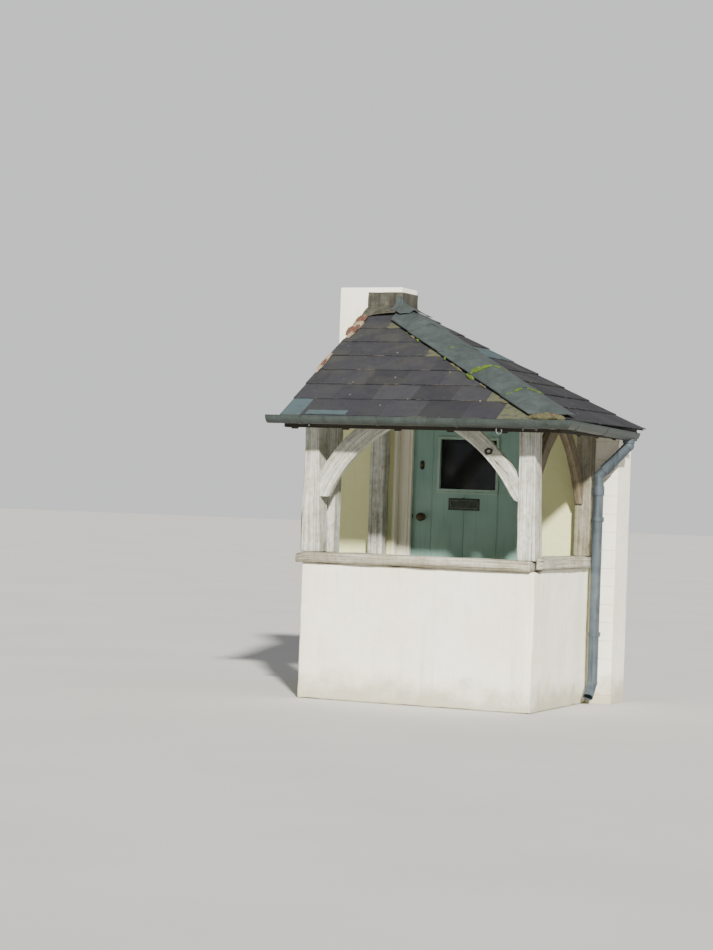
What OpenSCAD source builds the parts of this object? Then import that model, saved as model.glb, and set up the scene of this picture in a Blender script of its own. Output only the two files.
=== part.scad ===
// Open entrance porch of oak on a rendered dwarf wall, with a hipped slate roof,
// standing against the slice of house wall that holds its front door.
// Millimetres. X runs along the house wall, Y into the house, Z up.
// The origin is on the ground, at the outer face of the house wall, midway between the posts.

/* [Porch] */
// Width over the corner posts
porch_w = 1800; // [1600:10:2200]
// Depth from the front of the posts to the house wall
porch_d = 1200; // [1000:10:1500]
// Height of the porch floor above the ground
floor_h = 200; // [150:10:300]
// Height of the plate's underside above the ground
plate_z = 2000; // [1900:10:2200]
// Thickness of the plates that carry the rafters
plate_t = 80; // [60:5:120]

/* [Dwarf wall] */
// Height of the rendered dwarf wall
dwarf_h = 985; // [800:5:1100]
// Thickness of the dwarf wall
dwarf_t = 150; // [100:5:215]
// Thickness of the oak sill on the dwarf wall
sill_t = 78; // [50:1:100]
// Thickness of the sill on the side wall
side_sill_t = 82; // [50:1:100]
// Height by which the side wall stands above the front wall
side_lift = 20; // [0:1:40]
// Overhang of the sill beyond the wall, outside
sill_out = 37; // [20:1:60]
// Overhang of the sill beyond the wall, inside
sill_in = 20; // [10:1:40]

/* [Posts and braces] */
// Size of a corner post at its foot
post_w = 150; // [120:1:200]
// Amount by which the front posts narrow towards their tops
post_taper = 38; // [0:1:60]
// Width of the lesser posts
small_post_w = 120; // [90:1:150]
// Thickness of the curved braces
brace_t = 56; // [40:1:80]

/* [Roof] */
// Overhang of the slates beyond the posts
eave_out = 270; // [200:5:350]
// Height of the slates' lower edge above the ground
eave_z = 2060; // [2000:5:2200]
// Rise of the roof from the eave to the house corner
roof_rise = 870; // [700:10:1000]
// Overhang of the slates beyond the left posts
verge_out = 60; // [30:5:120]
// Visible length of one course of slates
slate_gauge = 228; // [150:1:300]
// Width of one wing of the hip cover
hip_wing = 180; // [120:5:240]
// Visible length of one length of the hip cover
hip_lap = 490; // [300:10:600]

/* [House wall] */
// Thickness of the house wall
wall_t = 300; // [220:10:400]
// Distance from the wall's left end to the left posts' outer face
wall_left_w = 300; // [200:10:500]
// Distance from the wall's right end to the right posts' outer face
wall_right_w = 200; // [150:10:240]
// Height of the taller part of the wall, beside the roof
wall_h = 3090; // [3070:10:3600]
// Place of the house corner that the hip runs to, from the left posts' outer face
corner_in = 220; // [150:5:300]

/* [Door] */
// Width of the door leaf
leaf_w = 910; // [760:1:960]
// Height of the door leaf
leaf_h = 1970; // [1900:1:2040]
// Thickness of the door leaf
leaf_t = 44; // [38:1:54]
// Distance from the wall's face to the door's face
door_set = 100; // [60:5:150]
// Width of each upright of the door frame
frame_w = 92; // [60:1:110]
// Height of the door knob above the ground
knob_z = 1331; // [1200:1:1400]
// Width of the glass in the door
glass_w = 458; // [300:1:520]
// Height of the glass in the door
glass_h = 378; // [250:1:500]

/* [Rainwater] */
// Outer radius of the half-round gutter
gutter_r = 56; // [45:1:65]
// Outer radius of the downpipe
pipe_r = 38; // [30:1:45]
// Fall of the side gutter towards its outlet, in degrees
side_gutter_fall = 1.2; // [0.5:0.1:1.5]

/* [Hidden] */
$fn = 64;

oak = [0.66, 0.64, 0.59];
weathered = [0.55, 0.52, 0.47];
render_white = [0.90, 0.88, 0.78];
slate_grey = [0.30, 0.29, 0.32];
lead_grey = [0.40, 0.45, 0.47];
gutter_grey = [0.38, 0.43, 0.43];
frame_white = [0.93, 0.92, 0.86];
door_green = [0.55, 0.72, 0.68];
bronze = [0.16, 0.13, 0.11];

left_x = -porch_w / 2;
right_x = porch_w / 2;
front_y = -porch_d;
eave_x = right_x + eave_out;
eave_y = front_y - eave_out;
verge_x = left_x - verge_out;
corner_x = left_x + corner_in;
wall_left_x = left_x - wall_left_w;
wall_right_x = right_x + wall_right_w;
// The dwarf wall starts a little in from the posts' outer face, and its short return ends here.
wall_in = 10;
return_y = front_y + 250;

// Roof surfaces: distances along a slope are s, distances square to it are n.
run_y = -eave_y;
run_x = eave_x - corner_x;
front_pitch = atan(roof_rise / run_y);
side_pitch = atan(roof_rise / run_x);
// What rests on a slope or against a face keeps a hair's gap from it.
seat_gap = 0.2;
boards_x = verge_x + 32;
boards_up = 15;
step_n = 6;
slate_n = 22;
board_n = 20;
rafter_n = 80;
rafter_w = 50;
under_slates = -slate_n;
on_boards = under_slates - seat_gap;
under_boards = on_boards - board_n;
on_rafters = under_boards - seat_gap;
under_rafters = on_rafters - rafter_n;
function front_pt(s, n) = [
    eave_y + s * cos(front_pitch) - n * sin(front_pitch),
    eave_z + s * sin(front_pitch) + n * cos(front_pitch)
];
function side_pt(s, n) = [
    eave_x - s * cos(side_pitch) + n * sin(side_pitch),
    eave_z + s * sin(side_pitch) + n * cos(side_pitch)
];
function hip_at(t) = [eave_x - run_x * t, eave_y + run_y * t];
front_len = run_y / cos(front_pitch);
side_len = run_x / cos(side_pitch);
beyond = 200;
big = 4000;

// Hip cover: a frame whose X runs up the hip, with each wing's direction in its YZ plane.
hip_plan = sqrt(run_x * run_x + run_y * run_y);
hip_len = sqrt(hip_plan * hip_plan + roof_rise * roof_rise);
hip_turn = 180 - atan(run_y / run_x);
hip_climb = atan(roof_rise / hip_plan);
front_turn = atan(front_len / run_x);
front_drop = atan(run_x / hip_plan * tan(front_pitch) * cos(hip_climb));
side_drop = atan(run_y / hip_plan * tan(side_pitch) * cos(hip_climb));

// Fascia and gutter stand under the slates' edge.
fascia_in = 25;
fascia_t = 20;
fascia_h = 105;
fascia_low = eave_z - fascia_h;
gutter_t = 3;
bracket_t = 4;
gutter_rim_z = eave_z - 25;
gutter_y = eave_y + fascia_in - gutter_r - bracket_t;
gutter_x = eave_x - fascia_in + gutter_r + bracket_t;
gutter_left_x = verge_x - 90;
side_gutter_len = -gutter_y + gutter_r;
outlet_y = -95;
pipe_x = right_x + 85;
pipe_t = 4;

// Door
leaf_gap = 5;
leaf_x0 = -584;
leaf_x1 = leaf_x0 + leaf_w;
leaf_z0 = floor_h + 22;
leaf_z1 = leaf_z0 + leaf_h;
frame_x0 = corner_x;
frame_x1 = leaf_x1 + leaf_gap + frame_w;
frame_head = 70;
head_z = leaf_z1 + leaf_gap + frame_head;
frame_front = door_set - 40;
leaf_back = door_set + leaf_t;
hinge_x = leaf_x1 + 2.5;
hinge_y = leaf_back + 6;
glass_x0 = leaf_x0 + 229;
glass_z0 = leaf_z1 - 639;
knob_x = leaf_x0 + 95;
ledge_t = 20;

module side_profile(length) {
    rotate([90, 0, 90]) linear_extrude(length) children();
}

module front_profile(length) {
    rotate([90, 0, 0]) translate([0, 0, -length]) linear_extrude(length) children();
}

// Plan zones on the two sides of the hip
module front_zone(x0 = verge_x) {
    foot = hip_at(-0.2);
    linear_extrude(big)
        polygon([foot, hip_at(1), [x0, 0], [x0, eave_y - beyond], [foot[0], eave_y - beyond]]);
}

module side_zone() {
    foot = hip_at(-0.2);
    linear_extrude(big) polygon([
        foot, hip_at(1), [corner_x, wall_t], [eave_x + beyond, wall_t], [eave_x + beyond, foot[1]]
    ]);
}

module plates() {
    translate([left_x, front_y, plate_z]) cube([porch_w, post_w, plate_t]);
    translate([right_x - post_w, front_y, plate_z]) cube([post_w, porch_d, plate_t]);
    translate([left_x, front_y, plate_z]) cube([post_w, porch_d, plate_t]);
}

module hip_slot() {
    translate([eave_x, eave_y, 0]) rotate([0, 0, hip_turn])
        translate([-beyond, -rafter_w / 2, 0]) cube([hip_plan + beyond, rafter_w, big]);
}

// Dwarf wall and floor
module front_dwarf_wall() {
    color(render_white) {
        translate([left_x + wall_in, front_y, 0]) cube([porch_w - wall_in, dwarf_t, dwarf_h]);
        translate([left_x + wall_in, front_y + dwarf_t, 0])
            cube([dwarf_t, return_y - front_y - dwarf_t, dwarf_h]);
    }
}

module side_dwarf_wall() {
    color(render_white) translate([right_x - dwarf_t, front_y + dwarf_t, 0])
        cube([dwarf_t, porch_d - dwarf_t, dwarf_h + side_lift]);
}

// The front sill keeps the bark edge of its log at its left end.
module front_sill() {
    x0 = left_x - 27;
    x1 = right_x - 20;
    y_out = front_y - sill_out;
    y_in = front_y + dwarf_t + sill_in;
    x_return = left_x + wall_in + dwarf_t + sill_in;
    x_side = right_x - dwarf_t - 2;
    top = dwarf_h + sill_t;
    wane_w = 85;
    wane_h = 20;
    color(weathered) difference() {
        translate([0, 0, dwarf_h]) linear_extrude(sill_t) polygon([
            [x0, y_out], [x1, y_out], [x1, front_y + dwarf_t],
            [x_side, front_y + dwarf_t], [x_side, y_in],
            [x_return, y_in], [x_return, return_y], [x0, return_y]
        ]);
        translate([0, y_out - 1, 0]) front_profile(porch_d)
            polygon([[x0 - 1, top - wane_h], [x0 + wane_w, top], [x0 + wane_w, top + 1], [x0 - 1, top + 1]]);
    }
}

// The side sill starts with a narrow horn beside the corner post.
module side_sill() {
    y_in = front_y + dwarf_t + sill_in;
    x_in = right_x - dwarf_t - sill_in;
    horn_gap = 3;
    horn_y = front_y + 20;
    nose = 12;
    color(weathered) translate([0, 0, dwarf_h + side_lift]) linear_extrude(side_sill_t) polygon([
        [right_x + horn_gap, horn_y], [right_x + sill_out - nose, horn_y],
        [right_x + sill_out, horn_y + 3 * nose], [right_x + sill_out, 0], [x_in, 0],
        [x_in, y_in], [right_x + horn_gap, y_in]
    ]);
}

module porch_floor() {
    x_left = left_x + wall_in + dwarf_t;
    x_right = right_x - dwarf_t;
    color("gray") linear_extrude(floor_h) polygon([
        [left_x, return_y], [x_left, return_y], [x_left, front_y + dwarf_t],
        [x_right, front_y + dwarf_t], [x_right, 0], [frame_x1, 0], [frame_x1, wall_t],
        [frame_x0, wall_t], [frame_x0, 0], [left_x, 0]
    ]);
}

// Posts. The two in front are hewn: they taper, and lean in a little.
post_z0 = dwarf_h + sill_t;
rear_post_d = 100;
module left_post_outline() {
    foot_out = 6;
    top_in = 5;
    polygon([
        [left_x - foot_out, post_z0], [left_x + post_w - foot_out, post_z0],
        [left_x + post_w - post_taper, plate_z], [left_x + top_in, plate_z]
    ]);
}

module right_post_outline() {
    foot_w = 133;
    top_w = 117;
    lean = 28;
    polygon([
        [right_x - foot_w, post_z0], [right_x, post_z0],
        [right_x - lean, plate_z], [right_x - lean - top_w, plate_z]
    ]);
}

module front_left_post() {
    color(oak) translate([0, front_y, 0]) front_profile(post_w) left_post_outline();
}

module front_right_post() {
    color(oak) translate([0, front_y, 0]) front_profile(post_w) right_post_outline();
}

module entrance_post() {
    set_in = 12;
    wider = 8;
    color(oak) translate([left_x + set_in, return_y, floor_h])
        cube([small_post_w + wider, small_post_w, plate_z - floor_h]);
}

module rear_left_post() {
    set_in = 45;
    color(oak) translate([left_x + set_in, -rear_post_d, floor_h])
        cube([small_post_w, rear_post_d, plate_z - floor_h]);
}

module rear_right_post() {
    foot = dwarf_h + side_lift + side_sill_t;
    set_in = 95;
    color(oak) translate([right_x - set_in, -rear_post_d, foot])
        cube([small_post_w, rear_post_d, plate_z - foot]);
}

// Plates
module front_plate() {
    color(oak) translate([left_x, front_y, plate_z]) cube([porch_w, post_w, plate_t]);
}

module side_plate() {
    color(oak) translate([right_x - post_w, front_y + post_w, plate_z])
        cube([post_w, porch_d - post_w, plate_t]);
}

module left_plate() {
    color(oak) translate([left_x, front_y + post_w, plate_z])
        cube([post_w, porch_d - post_w, plate_t]);
}

// A curved brace in the corner of a post (x = 0) and a plate (y = 0). Its inner edge is an arc
// from (toe, -drop) to (span, 0) that bows towards the corner.
module brace_outline(toe, drop, span, bow, width) {
    chord = sqrt((span - toe) * (span - toe) + drop * drop);
    r = chord * chord / (8 * bow) + bow / 2;
    mid = [(span + toe) / 2, -drop / 2];
    away = [drop / chord, -(span - toe) / chord];
    centre = mid + (r - bow) * away;
    intersection() {
        translate(centre) difference() {
            circle(r + width, $fn = 160);
            circle(r, $fn = 160);
        }
        translate([-post_w / 2, -drop]) square([span + post_w, drop]);
    }
}

brace_y = front_y + 12;
behind_post = 100;
module front_left_brace() {
    color(oak) difference() {
        translate([left_x + 130, brace_y, plate_z]) front_profile(brace_t)
            brace_outline(toe = 68, drop = 536, span = 610, bow = 75, width = 145);
        front_left_post();
        translate([left_x + behind_post - big, front_y - 1, 0]) cube([big, post_w, big]);
    }
}

module front_right_brace() {
    color(oak) difference() {
        translate([right_x - 140, brace_y, plate_z]) mirror([1, 0, 0]) front_profile(brace_t)
            brace_outline(toe = 12, drop = 524, span = 570, bow = 55, width = 110);
        front_right_post();
        translate([right_x - behind_post, front_y - 1, 0]) cube([big, post_w, big]);
    }
}

side_brace_x = right_x - 90;
module side_front_brace() {
    color(oak) intersection() {
        translate([side_brace_x, front_y + post_w, plate_z]) side_profile(brace_t)
            brace_outline(toe = 20, drop = 400, span = 430, bow = 45, width = 105);
        translate([0, front_y + post_w, 0]) cube([big, porch_d, big]);
    }
}

module side_rear_brace() {
    color(oak) intersection() {
        translate([side_brace_x + brace_t, -rear_post_d, plate_z]) rotate([0, 0, 180])
            side_profile(brace_t)
                brace_outline(toe = 20, drop = 530, span = 470, bow = 50, width = 105);
        translate([0, -porch_d, 0]) cube([big, porch_d - rear_post_d, big]);
    }
}

// Roof timbers
module hip_rafter() {
    top = -62;
    deep = 120;
    above_foot = 10;
    color(oak) difference() {
        intersection() {
            translate([eave_x, eave_y, eave_z]) rotate([0, 0, hip_turn]) rotate([90, 0, 0])
                translate([0, 0, -rafter_w / 2]) linear_extrude(rafter_w) polygon([
                    [0, top], [hip_plan + beyond, top + (hip_plan + beyond) * tan(hip_climb)],
                    [hip_plan + beyond, top - deep + (hip_plan + beyond) * tan(hip_climb)],
                    [0, top - deep]
                ]);
            translate([-big / 2, eave_y + fascia_in + fascia_t, fascia_low + above_foot])
                cube([big / 2 + eave_x - fascia_in - fascia_t, -eave_y - fascia_in - fascia_t, big]);
        }
        plates();
    }
}

module front_rafter(x) {
    translate([x - rafter_w / 2, 0, 0]) side_profile(rafter_w) polygon([
        front_pt(-beyond, on_rafters), front_pt(front_len + beyond, on_rafters),
        front_pt(front_len + beyond, under_rafters), front_pt(-beyond, under_rafters)
    ]);
}

module side_rafter(y) {
    translate([0, y - rafter_w / 2, 0]) front_profile(rafter_w) polygon([
        side_pt(-beyond, on_rafters), side_pt(side_len + beyond, on_rafters),
        side_pt(side_len + beyond, under_rafters), side_pt(-beyond, under_rafters)
    ]);
}

rafter_spacing = 400;
module front_rafters() {
    color(oak) difference() {
        intersection() {
            for (i = [0 : 4]) front_rafter(left_x + rafter_w / 2 + i * rafter_spacing);
            front_zone();
            translate([-big / 2, eave_y + fascia_in + fascia_t, 0])
                cube([big, -eave_y - fascia_in - fascia_t, big]);
        }
        plates();
        hip_slot();
    }
}

module side_rafters() {
    color(oak) difference() {
        intersection() {
            for (i = [0 : 2]) side_rafter(-180 - i * rafter_spacing);
            side_zone();
            translate([-big, -big, 0]) cube([big + eave_x - fascia_in - fascia_t, big, big]);
        }
        plates();
        hip_slot();
    }
}

module front_boarding() {
    color(oak) intersection() {
        translate([boards_x, 0, 0]) side_profile(big) polygon([
            front_pt(boards_up, on_boards), front_pt(front_len + beyond, on_boards),
            front_pt(front_len + beyond, under_boards), front_pt(boards_up, under_boards)
        ]);
        front_zone();
    }
}

module side_boarding() {
    color(oak) intersection() {
        translate([0, -big / 2, 0]) front_profile(big) polygon([
            side_pt(boards_up, on_boards), side_pt(side_len + beyond, on_boards),
            side_pt(side_len + beyond, under_boards), side_pt(boards_up, under_boards)
        ]);
        side_zone();
    }
}

// Courses of slates: each course's lower edge stands proud of the one below.
function courses(length) = ceil(length / slate_gauge) + 1;
module front_slates() {
    count = courses(front_len);
    color(slate_grey) intersection() {
        translate([verge_x, 0, 0]) side_profile(big) polygon([
            front_pt(0, under_slates),
            for (i = [0 : count - 1]) each [
                front_pt(i * slate_gauge, step_n), front_pt((i + 1) * slate_gauge, -step_n)
            ],
            front_pt(count * slate_gauge, under_slates)
        ]);
        front_zone();
    }
}

module side_slates() {
    count = courses(side_len);
    color(slate_grey) intersection() {
        translate([0, -big / 2, 0]) front_profile(big) polygon([
            side_pt(0, under_slates),
            for (i = [0 : count - 1]) each [
                side_pt(i * slate_gauge, step_n), side_pt((i + 1) * slate_gauge, -step_n)
            ],
            side_pt(count * slate_gauge, under_slates)
        ]);
        side_zone();
    }
}

// Hip cover: folded lengths that lap like scales, each one's foot over the head of the next below.
// Both edges turn down in a lip that stands just clear of the slates.
cover_t = 5;
cover_lip = 9;
cover_gap = 3;
function wing_points(side, drop) =
    let (out = [side * cos(drop), -sin(drop)], down = [-side * sin(drop), -cos(drop)])
    [
        hip_wing * out - cover_t * down, hip_wing * out + cover_lip * down,
        (hip_wing - cover_t) * out + cover_lip * down, (hip_wing - cover_t) * out
    ];
module hip_fold() {
    front = wing_points(1, front_drop);
    side = wing_points(-1, side_drop);
    polygon([
        [0, cover_t / cos(front_drop)], each front, [0, 0], for (i = [3 : -1 : 0]) side[i]
    ]);
}

module hip_length(s, length) {
    tilt = atan(cover_t / hip_lap);
    translate([eave_x, eave_y, eave_z]) rotate([0, 0, hip_turn]) rotate([0, -hip_climb, 0])
        translate([s, 0, step_n + cover_lip + cover_gap + cover_t]) rotate([0, tilt, 0])
            rotate([90, 0, 90]) linear_extrude(length) hip_fold();
}

module hip_cover() {
    count = floor(hip_len / hip_lap);
    first = hip_len - count * hip_lap;
    reach = hip_wing / sin(front_turn);
    color(lead_grey) difference() {
        intersection() {
            union() {
                hip_length(-reach, first + reach);
                for (i = [0 : count - 1]) hip_length(first + i * hip_lap, hip_lap);
            }
            translate([eave_x - big, eave_y, 0]) cube([big, -eave_y - flash_t - seat_gap, big]);
        }
        translate([corner_x + flash_t + seat_gap - big, apron_y - seat_gap, 0]) cube([big, big, big]);
    }
}

// Flashing where the roof meets the taller wall, dressed round the house corner
flash_t = 5;
upstand = 125;
apron = 140;
flash_n = step_n + seat_gap;
apron_y = front_pt(front_len - apron, flash_n + flash_t)[0];
module wall_flashing() {
    z0 = eave_z + roof_rise;
    color(lead_grey) {
        intersection() {
            translate([verge_x, 0, 0]) side_profile(corner_x - verge_x + flash_t) polygon([
                front_pt(front_len - apron, flash_n), front_pt(front_len, flash_n), [0, z0],
                [0, z0 + upstand], [-flash_t, z0 + upstand],
                front_pt(front_len, flash_n + flash_t), front_pt(front_len - apron, flash_n + flash_t)
            ]);
            translate([-big / 2, -big, 0]) cube([big, big, big]);
            front_zone(corner_x - corner_in - verge_out);
        }
        translate([0, -flash_t, 0]) front_profile(wall_t + flash_t) polygon([
            side_pt(side_len - apron, flash_n), side_pt(side_len, flash_n), [corner_x, z0],
            [corner_x, z0 + upstand], [corner_x + flash_t, z0 + upstand],
            side_pt(side_len, flash_n + flash_t), side_pt(side_len - apron, flash_n + flash_t)
        ]);
    }
}

// Fascias and verge board
module over_boards() {
    translate([-big / 2, 0, 0]) side_profile(big) polygon([
        front_pt(-beyond, on_rafters), front_pt(beyond, on_rafters),
        front_pt(beyond, beyond), front_pt(-beyond, beyond)
    ]);
    translate([0, -big / 2, 0]) front_profile(big) polygon([
        side_pt(-beyond, on_rafters), side_pt(beyond, on_rafters),
        side_pt(beyond, beyond), side_pt(-beyond, beyond)
    ]);
}

module front_fascia() {
    color(weathered) difference() {
        translate([boards_x, eave_y + fascia_in, fascia_low])
            cube([eave_x - fascia_in - boards_x, fascia_t, eave_z - fascia_low]);
        over_boards();
    }
}

module side_fascia() {
    color(weathered) difference() {
        translate([eave_x - fascia_in - fascia_t, eave_y + fascia_in + fascia_t, fascia_low])
            cube([fascia_t, wall_t - eave_y - fascia_in - fascia_t, eave_z - fascia_low]);
        over_boards();
    }
}

module verge_board() {
    deep = 150;
    thick = 22;
    color(weathered) intersection() {
        translate([boards_x - thick, 0, 0]) side_profile(thick) polygon([
            front_pt(-beyond, on_boards), front_pt(front_len + beyond, on_boards),
            front_pt(front_len + beyond, on_boards - deep), front_pt(-beyond, on_boards - deep)
        ]);
        translate([-big / 2, eave_y + fascia_in, fascia_low]) cube([big, -eave_y - fascia_in, big]);
    }
}

// Gutters: a half ring with a bead along its outer rim, closed by a stop end. The outer rim is
// at -X of the profile for side = -1, and at +X for side = 1.
bead_r = 4;
module below_rim(r) {
    difference() {
        children();
        translate([-2 * r, 0]) square([4 * r, 2 * r]);
    }
}

module gutter_section(side) {
    below_rim(gutter_r) difference() {
        circle(gutter_r);
        circle(gutter_r - gutter_t);
    }
    translate([side * (gutter_r - gutter_t / 2), 0]) circle(bead_r);
}

// A bracket: a strap under the gutter, with a tail against the fascia.
module bracket_section(side) {
    tail_h = 38;
    strap = bracket_t - seat_gap;
    below_rim(gutter_r + bracket_t) difference() {
        circle(gutter_r + bracket_t - seat_gap / 2);
        circle(gutter_r + seat_gap / 2);
        translate([side * gutter_r, 0]) circle(bead_r + 2);
    }
    translate([-side * (gutter_r + bracket_t / 2) - strap / 2, -tail_h]) square([strap, tail_h]);
}

module gutter_corner(side) {
    translate([gutter_x, gutter_y, 0]) linear_extrude(big) polygon(side == "front"
        ? [[beyond, -beyond], [-big, big], [-big, -beyond]]
        : [[beyond, -beyond], [-big, big], [beyond, big]]);
}

module along_front_gutter() {
    translate([gutter_left_x, gutter_y, gutter_rim_z]) children();
}

module along_side_gutter() {
    translate([gutter_x, gutter_y, gutter_rim_z]) rotate([-side_gutter_fall, 0, 0])
        translate([0, -gutter_r, 0]) children();
}

module front_gutter() {
    color(gutter_grey) intersection() {
        along_front_gutter() {
            side_profile(gutter_x + 2 * gutter_r - gutter_left_x) gutter_section(-1);
            side_profile(gutter_t) below_rim(gutter_r) circle(gutter_r);
        }
        gutter_corner("front");
    }
}

module side_gutter() {
    color(gutter_grey) difference() {
        intersection() {
            along_side_gutter() {
                translate([0, -gutter_r, 0]) front_profile(side_gutter_len + gutter_r) gutter_section(1);
                translate([0, side_gutter_len - gutter_t, 0]) front_profile(gutter_t)
                    below_rim(gutter_r) circle(gutter_r);
            }
            gutter_corner("side");
            translate([0, -big, 0]) cube([big, big, big]);
        }
        translate([gutter_x, outlet_y, 0]) cylinder(h = gutter_rim_z, r = pipe_r - pipe_t);
    }
}

// Narrow brackets along the runs, and a wider union strap on each side of the corner
bracket_w = 25;
union_w = 45;
module gutter_brackets() {
    first_in = 100;
    spacing = 600;
    front_union_x = right_x + 190;
    side_union_d = 195;
    side_bracket_d = 800;
    color(gutter_grey) {
        for (i = [0 : 2]) translate([left_x + first_in + i * spacing, gutter_y, gutter_rim_z])
            side_profile(bracket_w) bracket_section(-1);
        translate([front_union_x, gutter_y, gutter_rim_z]) side_profile(union_w) bracket_section(-1);
        along_side_gutter() {
            translate([0, side_union_d, 0]) front_profile(union_w) bracket_section(1);
            translate([0, side_bracket_d, 0]) front_profile(bracket_w) bracket_section(1);
        }
    }
}

// Downpipe: an outlet under the gutter, a swan neck in to the wall, a straight fall, and a shoe.
// Each joint has a socket. Two clips hold it to the wall.
pipe_top_z = gutter_rim_z - gutter_r;
neck_top_z = pipe_top_z - 70;
neck_low_z = neck_top_z - 230;
shoe_z = 160;
bend_grow = 2;
socket_grow = 6;
function between(a, b, t) = a + t * (b - a);
module pipe_between(a, b, r) {
    d = b - a;
    translate(a) rotate([0, acos(d[2] / norm(d)), atan2(d[1], d[0])]) cylinder(h = norm(d), r = r);
}

module pipe_run(points, r) {
    last = len(points) - 1;
    for (i = [0 : last - 1]) pipe_between(points[i], points[i + 1], r);
    for (i = [1 : last - 1]) translate(points[i]) sphere(r + bend_grow);
}

module downpipe() {
    top = [gutter_x, outlet_y, pipe_top_z];
    neck = [gutter_x, outlet_y, neck_top_z];
    low = [pipe_x, outlet_y, neck_low_z];
    foot = [pipe_x, outlet_y, shoe_z];
    lip = [pipe_x, outlet_y - 90, 60];
    socket_r = pipe_r + socket_grow;
    outlet_socket = [0.25, 0.75];
    neck_socket = [0.62, 0.8];
    collar_h = 70;
    clip_z = [500, 1350];
    clip_h = 30;
    clip_w = 40;
    clip_t = 5;
    color(gutter_grey) difference() {
        union() {
            pipe_run([top, neck, low, foot, lip], pipe_r);
            pipe_between(between(top, neck, outlet_socket[0]), between(top, neck, outlet_socket[1]), socket_r);
            pipe_between(between(neck, low, neck_socket[0]), between(neck, low, neck_socket[1]), socket_r);
            translate([pipe_x, outlet_y, neck_low_z - 2 * collar_h]) cylinder(h = collar_h, r = socket_r);
            for (z = clip_z) {
                translate([pipe_x, outlet_y, z]) cylinder(h = clip_h, r = pipe_r + clip_t);
                translate([pipe_x - clip_w / 2, outlet_y, z]) cube([clip_w, -outlet_y, clip_h]);
            }
        }
        pipe_run([top + [0, 0, 10], neck, low, foot, between(foot, lip, 1.2)], pipe_r - pipe_t);
        along_side_gutter() rotate([-90, 0, 0]) cylinder(h = side_gutter_len + 20, r = gutter_r + seat_gap);
    }
}

// House wall
module wing_wall() {
    color(render_white) translate([wall_left_x, 0, 0])
        cube([corner_x - wall_left_x, wall_t, wall_h]);
}

module under_side_roof(x0, x1, z0) {
    s0 = (eave_x - x0) / cos(side_pitch);
    s1 = (eave_x - x1) / cos(side_pitch);
    drop = -on_rafters / cos(side_pitch);
    front_profile(wall_t) polygon([
        [x0, z0], [x1, z0], [x1, eave_z + s1 * sin(side_pitch) - drop],
        [x0, eave_z + s0 * sin(side_pitch) - drop]
    ]);
}

module wall_over_door() {
    color(render_white) under_side_roof(corner_x, frame_x1, head_z);
}

module wall_right() {
    color(render_white) under_side_roof(frame_x1, wall_right_x, 0);
}

// Door frame: two uprights and a head, with a stop that the leaf shuts against. A groove sets
// off a bead along the inner edge of its face.
stop_w = 14;
module door_frame() {
    deep = leaf_back - frame_front;
    stop_deep = door_set - leaf_gap - frame_front;
    x0 = leaf_x0 - leaf_gap;
    x1 = leaf_x1 + leaf_gap;
    z1 = head_z - frame_head;
    bead_w = 16;
    groove_w = 8;
    groove_deep = 7;
    color(frame_white) difference() {
        translate([frame_x0, frame_front, floor_h])
            cube([frame_x1 - frame_x0, deep, head_z - floor_h]);
        translate([x0 + stop_w, frame_front - 1, 0])
            cube([x1 - x0 - 2 * stop_w, deep + 2, z1 - stop_w]);
        translate([x0, frame_front + stop_deep, 0]) cube([x1 - x0, deep, z1]);
        translate([0, frame_front - 1, 0]) front_profile(groove_deep + 1) difference() {
            translate([x0 + stop_w - bead_w - groove_w, 0])
                square([x1 - x0 - 2 * (stop_w - bead_w - groove_w), z1 - stop_w + bead_w + groove_w]);
            translate([x0 + stop_w - bead_w, -1])
                square([x1 - x0 - 2 * (stop_w - bead_w), z1 - stop_w + bead_w + 1]);
        }
    }
}

module threshold() {
    stop_back = door_set - leaf_gap;
    color(weathered) {
        translate([leaf_x0 - leaf_gap + stop_w, frame_front - 20, floor_h])
            cube([leaf_w + 2 * leaf_gap - 2 * stop_w, stop_back - frame_front + 20, 15]);
        translate([leaf_x0 - leaf_gap, stop_back, floor_h])
            cube([leaf_w + 2 * leaf_gap, leaf_back - stop_back, 15]);
    }
}

// Hinges: the frame carries the outer knuckles, the door the middle one.
hinge_z = [floor_h + 220, floor_h + 1000, floor_h + 1780];
knuckle_r = 5.5;
knuckle_h = 30;
knuckle_gap = 1;
plate_w = 36;
plate_in = 2.6;
hinge_plate_t = 2;
module frame_hinges() {
    outer_h = 25;
    reach = knuckle_h / 2 + knuckle_gap + outer_h;
    color(bronze) for (z = hinge_z) {
        for (dz = [-reach, reach - outer_h]) {
            translate([hinge_x, hinge_y, z + dz]) cylinder(h = outer_h, r = knuckle_r);
            translate([hinge_x + plate_in, leaf_back, z + dz]) cube([plate_w, hinge_plate_t, outer_h]);
        }
        translate([hinge_x + knuckle_r + knuckle_gap, leaf_back, z - reach])
            cube([plate_w - knuckle_r, hinge_plate_t, 2 * reach]);
    }
}

module door_hinges() {
    color(bronze) for (z = hinge_z) {
        translate([hinge_x, hinge_y, z - knuckle_h / 2]) cylinder(h = knuckle_h, r = knuckle_r);
        translate([hinge_x - plate_in - plate_w, leaf_back, z - knuckle_h / 2])
            cube([plate_w, hinge_plate_t, knuckle_h]);
    }
}

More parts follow.
